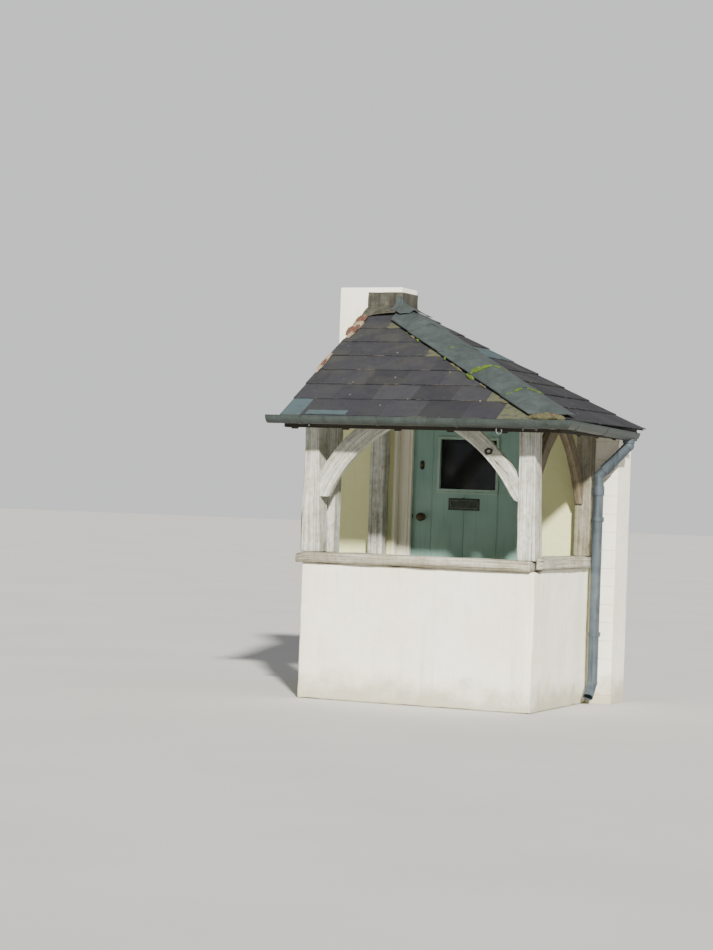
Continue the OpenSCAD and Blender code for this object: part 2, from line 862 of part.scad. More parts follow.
// Door leaf: upright boards with V-joints, held by three ledges on the inner side
board_joints = [168, 435, 706];
joint_w = 8;
ledges = [[150, 200], [900, 170], [leaf_h - 240, 160]];
module door_leaf() {
    ledge_in = 60;
    color(door_green) difference() {
        union() {
            translate([leaf_x0, door_set, leaf_z0]) cube([leaf_w, leaf_t, leaf_h]);
            for (l = ledges) translate([leaf_x0 + ledge_in, door_set, leaf_z0 + l[0]])
                cube([leaf_w - 2 * ledge_in, leaf_t + ledge_t, l[1]]);
        }
        translate([glass_x0, door_set - 1, glass_z0]) cube([glass_w, leaf_t + ledge_t + 2, glass_h]);
        for (x = board_joints) translate([leaf_x0 + x, door_set, leaf_z0 - 1])
            rotate([0, 0, 45]) translate([-joint_w / 2, -joint_w / 2, 0])
                cube([joint_w, joint_w, leaf_h + 2]);
    }
}

module door_glass() {
    glass_t = 6;
    glass_in = 18;
    color([0.1, 0.12, 0.13, 0.6]) translate([glass_x0, door_set + glass_in, glass_z0])
        cube([glass_w, glass_t, glass_h]);
}

// A bead round the glass, with a wider ledge under it
module glazing_bead() {
    bead = 22;
    bead_t = 12;
    ledge_h = 14;
    color(door_green) {
        difference() {
            translate([glass_x0 - bead, door_set - bead_t, glass_z0 - bead])
                cube([glass_w + 2 * bead, bead_t, glass_h + 2 * bead]);
            translate([glass_x0, door_set - bead_t - 1, glass_z0]) cube([glass_w, bead_t + 2, glass_h]);
        }
        translate([glass_x0 - bead, door_set - bead_t - 5, glass_z0 - bead - ledge_h])
            cube([glass_w + 2 * bead, bead_t + 5, ledge_h]);
    }
}

// Letter plate: a frame, a flap set in it, and a small knob on its upper edge
plate_x0 = leaf_x0 + 307;
plate_z0 = glass_z0 - 162;
module letter_plate() {
    w = 254;
    h = 92;
    t = 8;
    rim = 24;
    slit = 3;
    pull = 22;
    color(bronze) translate([plate_x0, door_set - t, plate_z0]) {
        difference() {
            cube([w, t, h]);
            translate([rim, -1, rim]) difference() {
                cube([w - 2 * rim, t - 1, h - 2 * rim]);
                translate([slit, -1, slit]) cube([w - 2 * (rim + slit), t + 2, h - 2 * (rim + slit)]);
            }
        }
        translate([w / 2, t, h - 2]) rotate([90, 0, 0]) {
            cylinder(h = pull, r = 5);
            translate([0, 0, pull]) sphere(10);
        }
    }
}

// One knob outside and one inside
module door_knob() {
    rose_t = 8;
    rose_r = 26;
    stem = 45;
    stem_r = 11;
    ball_r = 30;
    color(bronze) for (face = [0, 1]) translate([knob_x, door_set + face * leaf_t, knob_z])
        rotate([face == 0 ? 90 : -90, 0, 0]) {
            cylinder(h = rose_t, r = rose_r);
            cylinder(h = stem, r = stem_r);
            translate([0, 0, stem + 3]) sphere(ball_r);
        }
}

// Night latch: an upright plate with its cylinder outside, a case inside
module night_latch() {
    plate_r = 19;
    half_h = 19;
    thick = 6;
    case = [92, 28, 62];
    case_out = 66;
    color(bronze) translate([leaf_x0 + 80, 0, knob_z + 398]) {
        translate([0, door_set, 0]) rotate([90, 0, 0]) {
            for (dz = [-half_h, half_h]) translate([0, dz, 0]) cylinder(h = thick, r = plate_r);
            translate([-plate_r, -half_h, 0]) cube([2 * plate_r, 2 * half_h, thick]);
            cylinder(h = 14, r = 15);
        }
        translate([-case_out, leaf_back, -case[2] / 2]) cube(case);
    }
}

front_dwarf_wall();
side_dwarf_wall();
front_sill();
side_sill();
porch_floor();
front_left_post();
front_right_post();
entrance_post();
rear_left_post();
rear_right_post();
front_plate();
side_plate();
left_plate();
front_left_brace();
front_right_brace();
side_front_brace();
side_rear_brace();
hip_rafter();
front_rafters();
side_rafters();
front_boarding();
side_boarding();
front_slates();
side_slates();
hip_cover();
wall_flashing();
front_fascia();
side_fascia();
verge_board();
front_gutter();
side_gutter();
gutter_brackets();
downpipe();
wing_wall();
wall_over_door();
wall_right();
door_frame();
threshold();
frame_hinges();
door_leaf();
door_glass();
glazing_bead();
letter_plate();
door_knob();
night_latch();
door_hinges();
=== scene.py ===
import math

import bmesh
import bpy
import numpy as np
from mathutils import Matrix, Vector


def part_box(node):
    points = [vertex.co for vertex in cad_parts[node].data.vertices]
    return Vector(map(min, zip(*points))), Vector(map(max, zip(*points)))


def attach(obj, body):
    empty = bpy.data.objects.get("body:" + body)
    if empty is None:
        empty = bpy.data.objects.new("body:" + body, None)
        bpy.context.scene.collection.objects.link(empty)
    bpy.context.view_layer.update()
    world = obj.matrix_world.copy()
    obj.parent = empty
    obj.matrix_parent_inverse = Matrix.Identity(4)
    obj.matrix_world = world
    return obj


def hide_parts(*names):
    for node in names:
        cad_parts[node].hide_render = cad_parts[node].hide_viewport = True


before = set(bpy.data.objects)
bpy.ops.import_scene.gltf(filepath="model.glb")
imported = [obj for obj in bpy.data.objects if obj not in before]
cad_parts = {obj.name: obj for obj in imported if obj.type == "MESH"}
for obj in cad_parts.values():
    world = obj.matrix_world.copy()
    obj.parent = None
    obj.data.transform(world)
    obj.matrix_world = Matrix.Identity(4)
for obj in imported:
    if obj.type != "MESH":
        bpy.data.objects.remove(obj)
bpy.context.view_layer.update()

scene = bpy.context.scene

view = {
    "place": (6.53, -16.94, 1.51),  # the eye, metres
    "turn": 24.0,  # degrees to the right of the front's normal
    "climb": 0.39,  # degrees upwards
    "roll": 1.93,
    "lens": 90.76, "film": 36,  # mm
    "far": 200,  # metres that the camera sees
}


def makeCamera(v):
    # right, up and ahead are the camera's own axes: the level axes of its heading, then rolled
    turn, climb, roll = (math.radians(v[k]) for k in ("turn", "climb", "roll"))
    level = Vector((math.cos(turn), math.sin(turn), 0))
    ahead = Vector((-math.sin(turn) * math.cos(climb), math.cos(turn) * math.cos(climb), math.sin(climb)))
    lift = level.cross(ahead)
    right = level * math.cos(roll) + lift * math.sin(roll)
    up = lift * math.cos(roll) - level * math.sin(roll)
    data = bpy.data.cameras.new("porchCamera")
    data.lens = v["lens"]
    data.sensor_width = v["film"]
    data.clip_end = v["far"]
    cam = bpy.data.objects.new("porchCamera", data)
    aim = Matrix((right, up, -ahead)).transposed().to_4x4()
    cam.matrix_world = Matrix.Translation(v["place"]) @ aim
    scene.collection.objects.link(cam)
    scene.camera = cam


makeCamera(view)
print("camera placed")

# Shader nodes


def put(tree, kind, inputs=None, **settings):
    # one node with its settings; an input is either a socket to link or a plain value
    made = tree.nodes.new(kind)
    for key, value in settings.items():
        setattr(made, key, value)
    for key, value in (inputs or {}).items():
        if isinstance(value, bpy.types.NodeSocket):
            tree.links.new(value, made.inputs[key])
        else:
            made.inputs[key].default_value = value
    return made


def calc(tree, operation, a, b=0.0):
    return put(tree, "ShaderNodeMath", {0: a, 1: b}, operation=operation).outputs[0]


def plus(tree, a, b):
    return calc(tree, "ADD", a, b)


def minus(tree, a, b):
    return calc(tree, "SUBTRACT", a, b)


def times(tree, first, *others):
    for other in others:
        first = calc(tree, "MULTIPLY", first, other)
    return first


def scaled(tree, vector, size):
    return put(tree, "ShaderNodeVectorMath", {0: vector, "Scale": size}, operation="SCALE").outputs[0]


def split(tree, vector):
    return put(tree, "ShaderNodeSeparateXYZ", {0: vector}).outputs


def noise(tree, vector, scale, detail=4.0, rough=0.55, warp=0.0):
    inputs = {"Vector": vector, "Scale": scale, "Detail": detail, "Roughness": rough, "Distortion": warp}
    return put(tree, "ShaderNodeTexNoise", inputs).outputs[0]


def cells(tree, vector, scale):
    # how far each point is from the nearest of many scattered ones
    inputs = {"Vector": vector, "Scale": scale, "Randomness": 1.0}
    return put(tree, "ShaderNodeTexVoronoi", inputs).outputs[0]


def stretch(tree, vector, amounts, turn=(0, 0, 0)):
    inputs = {"Vector": vector, "Scale": amounts, "Rotation": turn}
    return put(tree, "ShaderNodeMapping", inputs).outputs[0]


def band(tree, value, low, high):
    # 0 below low, 1 above high, smooth between; low above high turns it round
    inputs = {"Value": value, "From Min": low, "From Max": high}
    return put(tree, "ShaderNodeMapRange", inputs, interpolation_type="SMOOTHSTEP").outputs[0]


def between(tree, value, low, high):
    # low where the value is 0, high where it is 1
    return put(tree, "ShaderNodeMapRange", {"Value": value, "To Min": low, "To Max": high}).outputs[0]


def blend(tree, factor, a, b, mode="MIX"):
    inputs = {0: factor, 6: a, 7: b}
    return put(tree, "ShaderNodeMix", inputs, data_type="RGBA", blend_type=mode).outputs[2]


def ramp(tree, value, *stops):
    made = put(tree, "ShaderNodeValToRGB", {0: value})
    points = made.color_ramp.elements
    while len(points) < len(stops):
        points.new(0.5)
    for point, (place, colour) in zip(points, stops):
        point.position = place
        point.color = colour
    return made.outputs[0]


def bump(tree, height, strength, distance, normal=None):
    inputs = {"Height": height, "Strength": strength, "Distance": distance}
    if normal:
        inputs["Normal"] = normal
    return put(tree, "ShaderNodeBump", inputs).outputs[0]


def attribute(tree, name, output="Fac"):
    return put(tree, "ShaderNodeAttribute", attribute_name=name).outputs[output]


def rgb(red, green, blue):
    # a screen colour of 0 to 255 as linear light: ((c + 0.055) / 1.055) ** 2.4
    linear = ((np.array([red, green, blue]) / 255 + 0.055) / 1.055) ** 2.4
    return (*linear.tolist(), 1.0)


def group(name):
    # a node group that takes a Vector and a Size; its nodes work on the one scaled by the other
    tree = bpy.data.node_groups.new(name, "ShaderNodeTree")
    for label, kind in (("Vector", "NodeSocketVector"), ("Size", "NodeSocketFloat")):
        tree.interface.new_socket(label, in_out="INPUT", socket_type=kind)
    taken = tree.nodes.new("NodeGroupInput").outputs
    return tree, scaled(tree, taken["Vector"], taken["Size"])


def giveOut(tree, values):
    # one output of the group for each value
    for label in values:
        tree.interface.new_socket(label, in_out="OUTPUT", socket_type="NodeSocketFloat")
    given = tree.nodes.new("NodeGroupOutput").inputs
    for label, value in values.items():
        tree.links.new(value, given[label])


def use(tree, made, **inputs):
    return put(tree, "ShaderNodeGroup", inputs, node_tree=made).outputs


def makeFibres():
    # wood with its length along X: fine fibres, broad bands, thin dark pores and long dark shakes
    tree, place = group("woodFibres")
    fine = noise(tree, stretch(tree, place, (4, 210, 210)), 1.0, 6.0, 0.7)
    broad = noise(tree, stretch(tree, place, (0.8, 60, 60)), 1.0, 5.0, 0.6, 0.2)
    pores = band(tree, noise(tree, stretch(tree, place, (9, 420, 420)), 1.0, 3.0, 0.5), 0.56, 0.70)
    # a shake runs where slow noise crosses its middle, in some places only
    line = noise(tree, stretch(tree, place, (0.7, 24, 24)), 1.0, 2.0, 0.5, 0.12)
    off = calc(tree, "ABSOLUTE", minus(tree, line, 0.5))
    where = band(tree, noise(tree, stretch(tree, place, (1.6, 11, 11)), 1.0, 2.0), 0.55, 0.66)
    shake = times(tree, band(tree, off, 0.012, 0.003), where)
    height = plus(tree, times(tree, fine, 0.5), times(tree, broad, 0.5))
    height = minus(tree, height, times(tree, pores, 0.15))
    height = minus(tree, height, times(tree, shake, 0.9))
    giveOut(tree, {"Fine": fine, "Broad": broad, "Pores": pores, "Shake": shake, "Height": height})
    return tree


def makeWeather():
    # stains, streaks that run down, and small specks
    tree, place = group("weather")
    stain = band(tree, noise(tree, place, 3.2, 6.0, 0.62, 0.4), 0.38, 0.68)
    streak = band(tree, noise(tree, stretch(tree, place, (26, 26, 1.6)), 1.0, 4.0, 0.55), 0.45, 0.72)
    sparse = band(tree, noise(tree, place, 7.0, 3.0), 0.55, 0.72)
    speck = times(tree, band(tree, cells(tree, place, 46.0), 0.24, 0.12), sparse)
    giveOut(tree, {"Stain": stain, "Streak": streak, "Speck": speck})
    return tree


fibres = makeFibres()
weather = makeWeather()

# Materials


def newMaterial(name):
    # a material, its tree and shader, and its object coordinates
    made = bpy.data.materials.new(name)
    made.use_nodes = True
    tree = made.node_tree
    return made, tree, tree.nodes["Principled BSDF"], put(tree, "ShaderNodeTexCoord").outputs["Object"]


def finish(tree, shader, colour, rough, normal=None, **fixed):
    # links what changes over the surface, and sets the rest on the shader's own sockets
    for socket, value in (("Base Color", colour), ("Roughness", rough), ("Normal", normal)):
        if isinstance(value, bpy.types.NodeSocket):
            tree.links.new(value, shader.inputs[socket])
        elif value is not None:
            shader.inputs[socket].default_value = value
    for label, value in fixed.items():
        shader.inputs[label].default_value = value


def looks(common, **own):
    # one look for each name: what they all share, and over it what is its own
    return {name: {**common, **look} for name, look in own.items()}


woodLooks = looks(
    {"cloud": rgb(218, 216, 206), "mottled": 0.8, "size": 1.0, "damp": 0.0, "wet": 0.0, "rough": 0.8,
     "deep": 0.004},
    oak={"pale": rgb(215, 217, 209), "dark": rgb(144, 144, 134), "shake": rgb(62, 55, 44),
         "stain": rgb(148, 142, 118), "stained": 0.25, "damp": 0.4, "rough": 0.78, "deep": 0.003},
    dampOak={"pale": rgb(162, 159, 142), "dark": rgb(112, 108, 92), "shake": rgb(40, 36, 28),
             "stain": rgb(104, 98, 74), "stained": 0.45, "damp": 0.85},
    # the side braces' look: their own brown made darker as painted shade
    brownOak={"pale": rgb(134, 122, 100), "dark": rgb(86, 76, 60), "shake": rgb(36, 30, 23),
              "stain": rgb(92, 82, 60), "stained": 0.4},
    sillOak={"pale": rgb(214, 212, 200), "dark": rgb(146, 140, 124), "shake": rgb(48, 40, 31),
             "stain": rgb(128, 120, 94), "size": 1.2, "stained": 0.45, "wet": 0.7},
    # the roof timbers' look: their own brown made darker as painted shade under the roof; the knot's dark is
    # its own
    roofTimber={"pale": rgb(60, 53, 42), "dark": rgb(34, 29, 23), "shake": rgb(16, 14, 11),
                "stain": rgb(42, 42, 30), "stained": 0.5, "rough": 0.85, "deep": 0.003},
)
woodPlaces = {  # where each change begins and where it is whole, metres
    "dampFoot": (1.36, 1.12), "lowerEdge": (1.032, 1.008),  # heights
    "leftEnd": (-0.2, -0.8), "waneyEnd": (-0.86, -0.92),  # to the left along X
}
grainTurns = {"up": (0, math.radians(90), 0), "inwards": (0, 0, math.radians(90)), "across": (0, 0, 0)}


def woodMaterial(name, look, turn=None):
    # the grain runs along X of the piece's grain attribute, or else of its object coordinates, turned
    made, tree, shader, place = newMaterial(name)
    along = stretch(tree, place, (1, 1, 1), turn) if turn else attribute(tree, "grain", "Vector")
    wood = use(tree, fibres, Vector=along, Size=look["size"])
    worn = use(tree, weather, Vector=place, Size=1.0)
    tone = plus(tree, times(tree, wood["Fine"], 0.55), times(tree, wood["Broad"], 0.5))
    colour = ramp(tree, tone, (0.43, look["dark"]), (0.59, look["pale"]))
    colour = blend(tree, times(tree, wood["Pores"], 0.3), colour, look["dark"], "MULTIPLY")
    clouded = band(tree, noise(tree, place, 7.0, 5.0, 0.6), 0.42, 0.72)
    colour = blend(tree, clouded, colour, look["cloud"], "MULTIPLY")
    mottled = band(tree, noise(tree, stretch(tree, place, (1, 1, 0.6)), 44.0, 5.0, 0.65), 0.45, 0.66)
    colour = blend(tree, times(tree, mottled, look["mottled"]), colour, look["cloud"], "MULTIPLY")
    colour = blend(tree, times(tree, worn["Stain"], look["stained"]), colour, look["stain"])
    # damp rises a little way into the feet of the posts
    axes = split(tree, place)
    blot = noise(tree, stretch(tree, place, (1, 1, 0.35)), 17.0, 5.0, 0.6, 0.4)
    damp = times(tree, band(tree, blot, 0.54, 0.7), band(tree, axes["Z"], *woodPlaces["dampFoot"]))
    colour = blend(tree, times(tree, damp, look["damp"]), colour, look["shake"])
    # a sill darkens along its lower edge and towards its left end
    ragged = plus(tree, axes["Z"], times(tree, wood["Broad"], 0.03))
    leftEnd = times(tree, band(tree, axes["X"], *woodPlaces["leftEnd"]), 0.85)
    wet = calc(tree, "MAXIMUM", band(tree, ragged, *woodPlaces["lowerEdge"]), leftEnd)
    colour = blend(tree, times(tree, wet, look["wet"]), colour, look["stain"], "MULTIPLY")
    # and has dark knots in its waney end
    knots = band(tree, noise(tree, place, 30.0, 3.0, 0.5, 0.3), 0.53, 0.60)
    knots = times(tree, knots, band(tree, axes["X"], *woodPlaces["waneyEnd"]))
    colour = blend(tree, times(tree, knots, look["wet"]), colour, look["shake"])
    colour = blend(tree, wood["Shake"], colour, look["shake"])
    finish(tree, shader, colour, look["rough"], bump(tree, wood["Height"], 0.8, look["deep"]))
    return made


limewashLook = {
    "dark": rgb(241, 236, 216), "pale": rgb(250, 247, 234), "yellowAndShadeTint": rgb(211, 213, 150),
    "mud": rgb(142, 134, 98), "streak": rgb(176, 168, 132), "speck": rgb(150, 148, 118),
    "joint": rgb(150, 140, 96), "board": 0.134,  # height of a board, metres
    # where each change begins and where it is whole along one axis, metres
    "behindFace": (-0.05, -0.01), "beforeBack": (0.29, 0.27), "insideX": (0.93, 0.88),
    "underRoof": (2.75, 2.2), "porchLeft": (-0.95, -0.9), "belowTop": (2.9, 2.75), "splash": (0.08, -0.15),
    "besidePorch": (0.905, 0.91), "onFace": ((0.02, 0.01), (-0.02, -0.01)),
}


def limewashMaterial(look):
    # limewash on trowelled render: cream outside; under the roof yellower, the paint's own tint, and greener
    # and darker as painted shade; dirty at its foot, with faint board lines on the house wall beside the
    # porch
    made, tree, shader, place = newMaterial("limewash")
    worn = use(tree, weather, Vector=place, Size=0.8)
    axes = split(tree, place)
    soft = noise(tree, place, 2.2, 4.0, 0.5)
    colour = ramp(tree, soft, (0.35, look["dark"]), (0.65, look["pale"]))
    inside = times(tree, band(tree, axes["Y"], *look["behindFace"]),
                   band(tree, axes["Y"], *look["beforeBack"]), band(tree, axes["X"], *look["insideX"]))
    uneven = plus(tree, axes["Z"], times(tree, soft, 0.5))
    left = band(tree, axes["X"], *look["porchLeft"])
    belowRoof = calc(tree, "MAXIMUM", band(tree, uneven, *look["underRoof"]), left)
    inside = times(tree, inside, times(tree, belowRoof, band(tree, axes["Z"], *look["belowTop"])))
    # painted shade: under the roof the tint is greener and darker than the paint, over its own yellower cream
    colour = blend(tree, times(tree, inside, 0.85), colour, look["yellowAndShadeTint"])
    splash = plus(tree, axes["Z"], times(tree, noise(tree, place, 6.0, 5.0, 0.6), -0.35))
    colour = blend(tree, times(tree, band(tree, splash, *look["splash"]), 0.6), colour, look["mud"])
    colour = blend(tree, times(tree, worn["Streak"], worn["Stain"], 0.3), colour, look["streak"])
    colour = blend(tree, times(tree, worn["Speck"], 0.3), colour, look["speck"])
    # a board line lies halfway up each board's height
    rise = plus(tree, axes["Z"], times(tree, noise(tree, place, 4.0, 3.0), 0.006))
    course = calc(tree, "FRACT", times(tree, rise, 1 / look["board"]))
    line = band(tree, calc(tree, "ABSOLUTE", minus(tree, course, 0.5)), 0.025, 0.008)
    before, behind = look["onFace"]
    beside = times(tree, band(tree, axes["X"], *look["besidePorch"]), band(tree, axes["Y"], *before),
                   band(tree, axes["Y"], *behind))
    line = times(tree, line, beside)
    colour = blend(tree, times(tree, line, 0.28), colour, look["joint"])
    grit = noise(tree, place, 210.0, 3.0, 0.6)
    trowel = noise(tree, stretch(tree, place, (1, 1, 1.6)), 11.0, 5.0, 0.5, 0.5)
    hollow = bump(tree, minus(tree, 1.0, line), 0.6, 0.004)
    normal = bump(tree, grit, 0.35, 0.002, bump(tree, trowel, 0.5, 0.010, hollow))
    finish(tree, shader, colour, 0.9, normal)
    return made


# the tail colour is partly each slate's worn edge and partly a painted highlight along it
slateFinish = {"deep": rgb(45, 45, 49), "middle": rgb(53, 53, 58), "pale": rgb(63, 63, 67),
               "olive": rgb(91, 93, 72), "blue": rgb(72, 86, 91), "dust": rgb(74, 75, 66),
               "lichen": rgb(140, 141, 124), "leaf": rgb(39, 39, 42), "tail": rgb(104, 98, 84),
               "dusty": (2.15, 2.5)}  # heights between which the dust grows


def slateMaterial(c):
    # riven slate: its tone and its odd colours come from attributes, one value for each slate
    made, tree, shader, place = newMaterial("rivenSlate")
    odd = attribute(tree, "odd")
    worn = use(tree, weather, Vector=place, Size=1.6)
    colour = ramp(tree, attribute(tree, "tone"), (0.0, c["deep"]), (0.5, c["middle"]), (1.0, c["pale"]))
    cloud = noise(tree, place, 16.0, 6.0, 0.65, 0.4)
    patchy = band(tree, cloud, 0.3, 0.55)
    colour = blend(tree, times(tree, band(tree, odd, 0.3, 0.5), patchy), colour, c["olive"])
    colour = blend(tree, band(tree, odd, 0.8, 0.95), colour, c["blue"])
    colour = blend(tree, times(tree, band(tree, cloud, 0.45, 0.75), 0.4), colour, c["leaf"])
    dusty = times(tree, band(tree, split(tree, place)["Z"], *c["dusty"]), 0.3)
    colour = blend(tree, times(tree, worn["Stain"], plus(tree, 0.12, dusty)), colour, c["dust"])
    # a pale line along each tail, partly a worn edge and partly a painted highlight, broken by noise; small
    # specks, and a few larger spots of lichen
    wornAndLitTail = band(tree, attribute(tree, "tail"), 0.84, 0.97)
    broken = band(tree, noise(tree, place, 7.0, 5.0, 0.7), 0.50, 0.66)
    colour = blend(tree, times(tree, wornAndLitTail, broken, 0.6), colour, c["tail"])
    colour = blend(tree, times(tree, worn["Speck"], 0.4), colour, c["lichen"])
    uneven = plus(tree, cells(tree, place, 13.0), times(tree, noise(tree, place, 90.0, 3.0), 0.08))
    few = band(tree, noise(tree, place, 4.3, 2.0), 0.5, 0.6)
    spot = times(tree, band(tree, uneven, 0.15, 0.11), few)
    colour = blend(tree, times(tree, spot, 0.75), colour, c["lichen"])
    layers = noise(tree, place, 34.0, 6.0, 0.7, 1.0)
    fine = noise(tree, place, 240.0, 3.0, 0.6)
    normal = bump(tree, fine, 0.25, 0.001, bump(tree, layers, 0.55, 0.003))
    finish(tree, shader, colour, between(tree, cloud, 0.7, 0.92), normal, **{"Specular IOR Level": 0.1})
    return made


metalLooks = looks(
    {"size": 6.0, "cloud": 30.0, "grain": 500.0, "bump": 0.1, "dents": 0.0004, "rough": (0.32, 0.55),
     "streaked": 0.3, "specked": 0.2, "metal": 0.35},
    weatheredLead={"pale": rgb(74, 82, 82), "dark": rgb(54, 61, 61), "dirt": rgb(48, 50, 44),
                   "lichen": rgb(130, 132, 112), "size": 1.4, "cloud": 7.0, "grain": 180.0, "bump": 0.2,
                   "dents": 0.006, "rough": (0.5, 0.7), "specked": 0.5, "metal": 0.05},
    oldFlashing={"pale": rgb(88, 88, 78), "dark": rgb(56, 54, 46), "dirt": rgb(42, 38, 32),
                 "lichen": rgb(140, 138, 112), "size": 1.6, "cloud": 9.0, "grain": 160.0, "bump": 0.25,
                 "dents": 0.006, "rough": (0.45, 0.7), "streaked": 0.7, "specked": 0.5, "metal": 0.15},
    gutterPaint={"pale": rgb(66, 74, 72), "dark": rgb(48, 55, 53), "dirt": rgb(42, 44, 36),
                 "lichen": rgb(130, 132, 110), "size": 1.8, "cloud": 9.0, "grain": 260.0, "bump": 0.15,
                 "dents": 0.002, "rough": (0.34, 0.55), "streaked": 0.5, "specked": 0.5, "metal": 0.0},
    pipePaint={"pale": rgb(84, 94, 100), "dark": rgb(60, 69, 76), "dirt": rgb(44, 48, 50),
               "lichen": rgb(140, 142, 128), "size": 1.6, "cloud": 8.0, "grain": 260.0, "bump": 0.15,
               "dents": 0.002, "rough": (0.36, 0.56), "streaked": 0.6, "specked": 0.3, "metal": 0.0},
    darkBronze={"pale": rgb(66, 56, 46), "dark": rgb(34, 29, 25), "dirt": rgb(84, 74, 52),
                "lichen": rgb(96, 88, 66), "rough": (0.28, 0.5), "metal": 0.8},
    greenBronze={"pale": rgb(84, 92, 82), "dark": rgb(50, 56, 50), "dirt": rgb(36, 38, 32),
                 "lichen": rgb(110, 116, 96)},
    # the letter plate rim's paler bronze is a painted highlight
    paleBronze={"pale": rgb(124, 134, 120), "dark": rgb(86, 94, 84), "dirt": rgb(44, 48, 40),
                "lichen": rgb(120, 126, 104)},
    brownBronze={"pale": rgb(122, 104, 82), "dark": rgb(74, 62, 48), "dirt": rgb(48, 40, 32),
                 "lichen": rgb(120, 104, 80), "cloud": 40.0, "rough": (0.3, 0.5), "metal": 0.7},
    paleZinc={"pale": rgb(120, 126, 124), "dark": rgb(82, 88, 86), "dirt": rgb(66, 66, 58),
              "lichen": rgb(160, 160, 140), "size": 3.0, "cloud": 40.0, "grain": 400.0, "bump": 0.15,
              "dents": 0.0005, "rough": (0.4, 0.6), "streaked": 0.4, "specked": 0.3, "metal": 0.3},
    wornBrass={"pale": rgb(132, 116, 76), "dark": rgb(82, 70, 46), "dirt": rgb(60, 52, 36),
               "lichen": rgb(120, 110, 80), "size": 8.0, "cloud": 60.0, "grain": 600.0, "dents": 0.0003,
               "rough": (0.25, 0.45), "metal": 0.85},
)


def metalMaterial(name, look):
    # weathered sheet or paint on metal
    made, tree, shader, place = newMaterial(name)
    worn = use(tree, weather, Vector=place, Size=look["size"])
    cloud = noise(tree, place, look["cloud"], 5.0, 0.6, 0.5)
    colour = ramp(tree, cloud, (0.3, look["dark"]), (0.7, look["pale"]))
    colour = blend(tree, times(tree, worn["Streak"], look["streaked"]), colour, look["dirt"])
    colour = blend(tree, times(tree, worn["Speck"], look["specked"]), colour, look["lichen"])
    small = noise(tree, place, look["grain"], 3.0, 0.6)
    normal = bump(tree, small, look["bump"], 0.001, bump(tree, cloud, 0.4, look["dents"]))
    rough = between(tree, cloud, *look["rough"])
    finish(tree, shader, colour, rough, normal, Metallic=look["metal"], **{"Specular IOR Level": 0.25})
    return made


paintLooks = looks(
    {"rough": 0.42, "low": (0.7, 0.2)},  # low: heights between which the dirt grows downwards
    creamPaint={"pale": rgb(238, 236, 218), "dark": rgb(224, 220, 198), "dirt": rgb(176, 172, 138),
                "rough": 0.4},
    sagePaint={"pale": rgb(147, 181, 170), "dark": rgb(129, 165, 154), "dirt": rgb(92, 102, 82)},
    beadPaint={"pale": rgb(164, 192, 175), "dark": rgb(147, 177, 160), "dirt": rgb(100, 110, 90)},
)


def paintMaterial(name, look):
    # brushed paint over upright boards: fine strokes, dirt in the low places
    made, tree, shader, place = newMaterial(name)
    along = stretch(tree, place, (1, 1, 1), grainTurns["up"])
    wood = use(tree, fibres, Vector=along, Size=1.3)
    worn = use(tree, weather, Vector=place, Size=2.0)
    cloud = noise(tree, place, 3.0, 4.0, 0.5)
    colour = ramp(tree, cloud, (0.3, look["dark"]), (0.7, look["pale"]))
    colour = blend(tree, times(tree, worn["Streak"], 0.16), colour, look["dirt"])
    low = times(tree, band(tree, split(tree, place)["Z"], *look["low"]), 0.3)
    colour = blend(tree, times(tree, low, worn["Stain"]), colour, look["dirt"])
    normal = bump(tree, wood["Fine"], 0.22, 0.0012, bump(tree, wood["Broad"], 0.2, 0.003))
    finish(tree, shader, colour, look["rough"], normal)
    return made


glassLook = {"dark": rgb(13, 16, 18), "pale": rgb(24, 28, 30), "rough": (0.04, 0.16)}


def glassMaterial(look):
    # dim glass, near black as painted shade of the dark room behind it, with a thin film of dirt and a slow
    # wave
    made, tree, shader, place = newMaterial("dimGlass")
    film = noise(tree, place, 9.0, 4.0, 0.5)
    colour = ramp(tree, film, (0.3, look["dark"]), (0.75, look["pale"]))
    normal = bump(tree, noise(tree, place, 5.0, 1.0), 0.1, 0.003)
    finish(tree, shader, colour, between(tree, film, *look["rough"]), normal)
    return made


roughLooks = looks(
    {"size": 6.0, "cloud": 40.0, "grain": 120.0, "deep": 0.006},
    mortar={"pale": rgb(102, 96, 68), "dark": rgb(56, 52, 35), "stain": rgb(60, 68, 32)},
    limeMortar={"pale": rgb(178, 164, 138), "dark": rgb(114, 96, 74), "stain": rgb(92, 84, 56)},
    redTile={"pale": rgb(108, 70, 57), "dark": rgb(78, 51, 42), "stain": rgb(84, 74, 50), "grain": 160.0,
             "deep": 0.003},
    moss={"pale": rgb(94, 118, 24), "dark": rgb(50, 70, 12), "stain": rgb(46, 54, 14), "size": 8.0,
          "cloud": 60.0, "grain": 420.0, "deep": 0.004},
    wornStone={"pale": rgb(164, 156, 140), "dark": rgb(122, 116, 104), "stain": rgb(110, 104, 86),
               "size": 2.0, "cloud": 9.0, "grain": 70.0, "deep": 0.003},
)


def roughMaterial(name, look):
    # mortar, tile, moss and worn stone
    made, tree, shader, place = newMaterial(name)
    worn = use(tree, weather, Vector=place, Size=look["size"])
    cloud = noise(tree, place, look["cloud"], 6.0, 0.65)
    colour = ramp(tree, cloud, (0.3, look["dark"]), (0.7, look["pale"]))
    colour = blend(tree, times(tree, worn["Stain"], 0.4), colour, look["stain"])
    normal = bump(tree, noise(tree, place, look["grain"], 5.0, 0.7), 0.8, look["deep"])
    finish(tree, shader, colour, 0.92, normal)
    return made


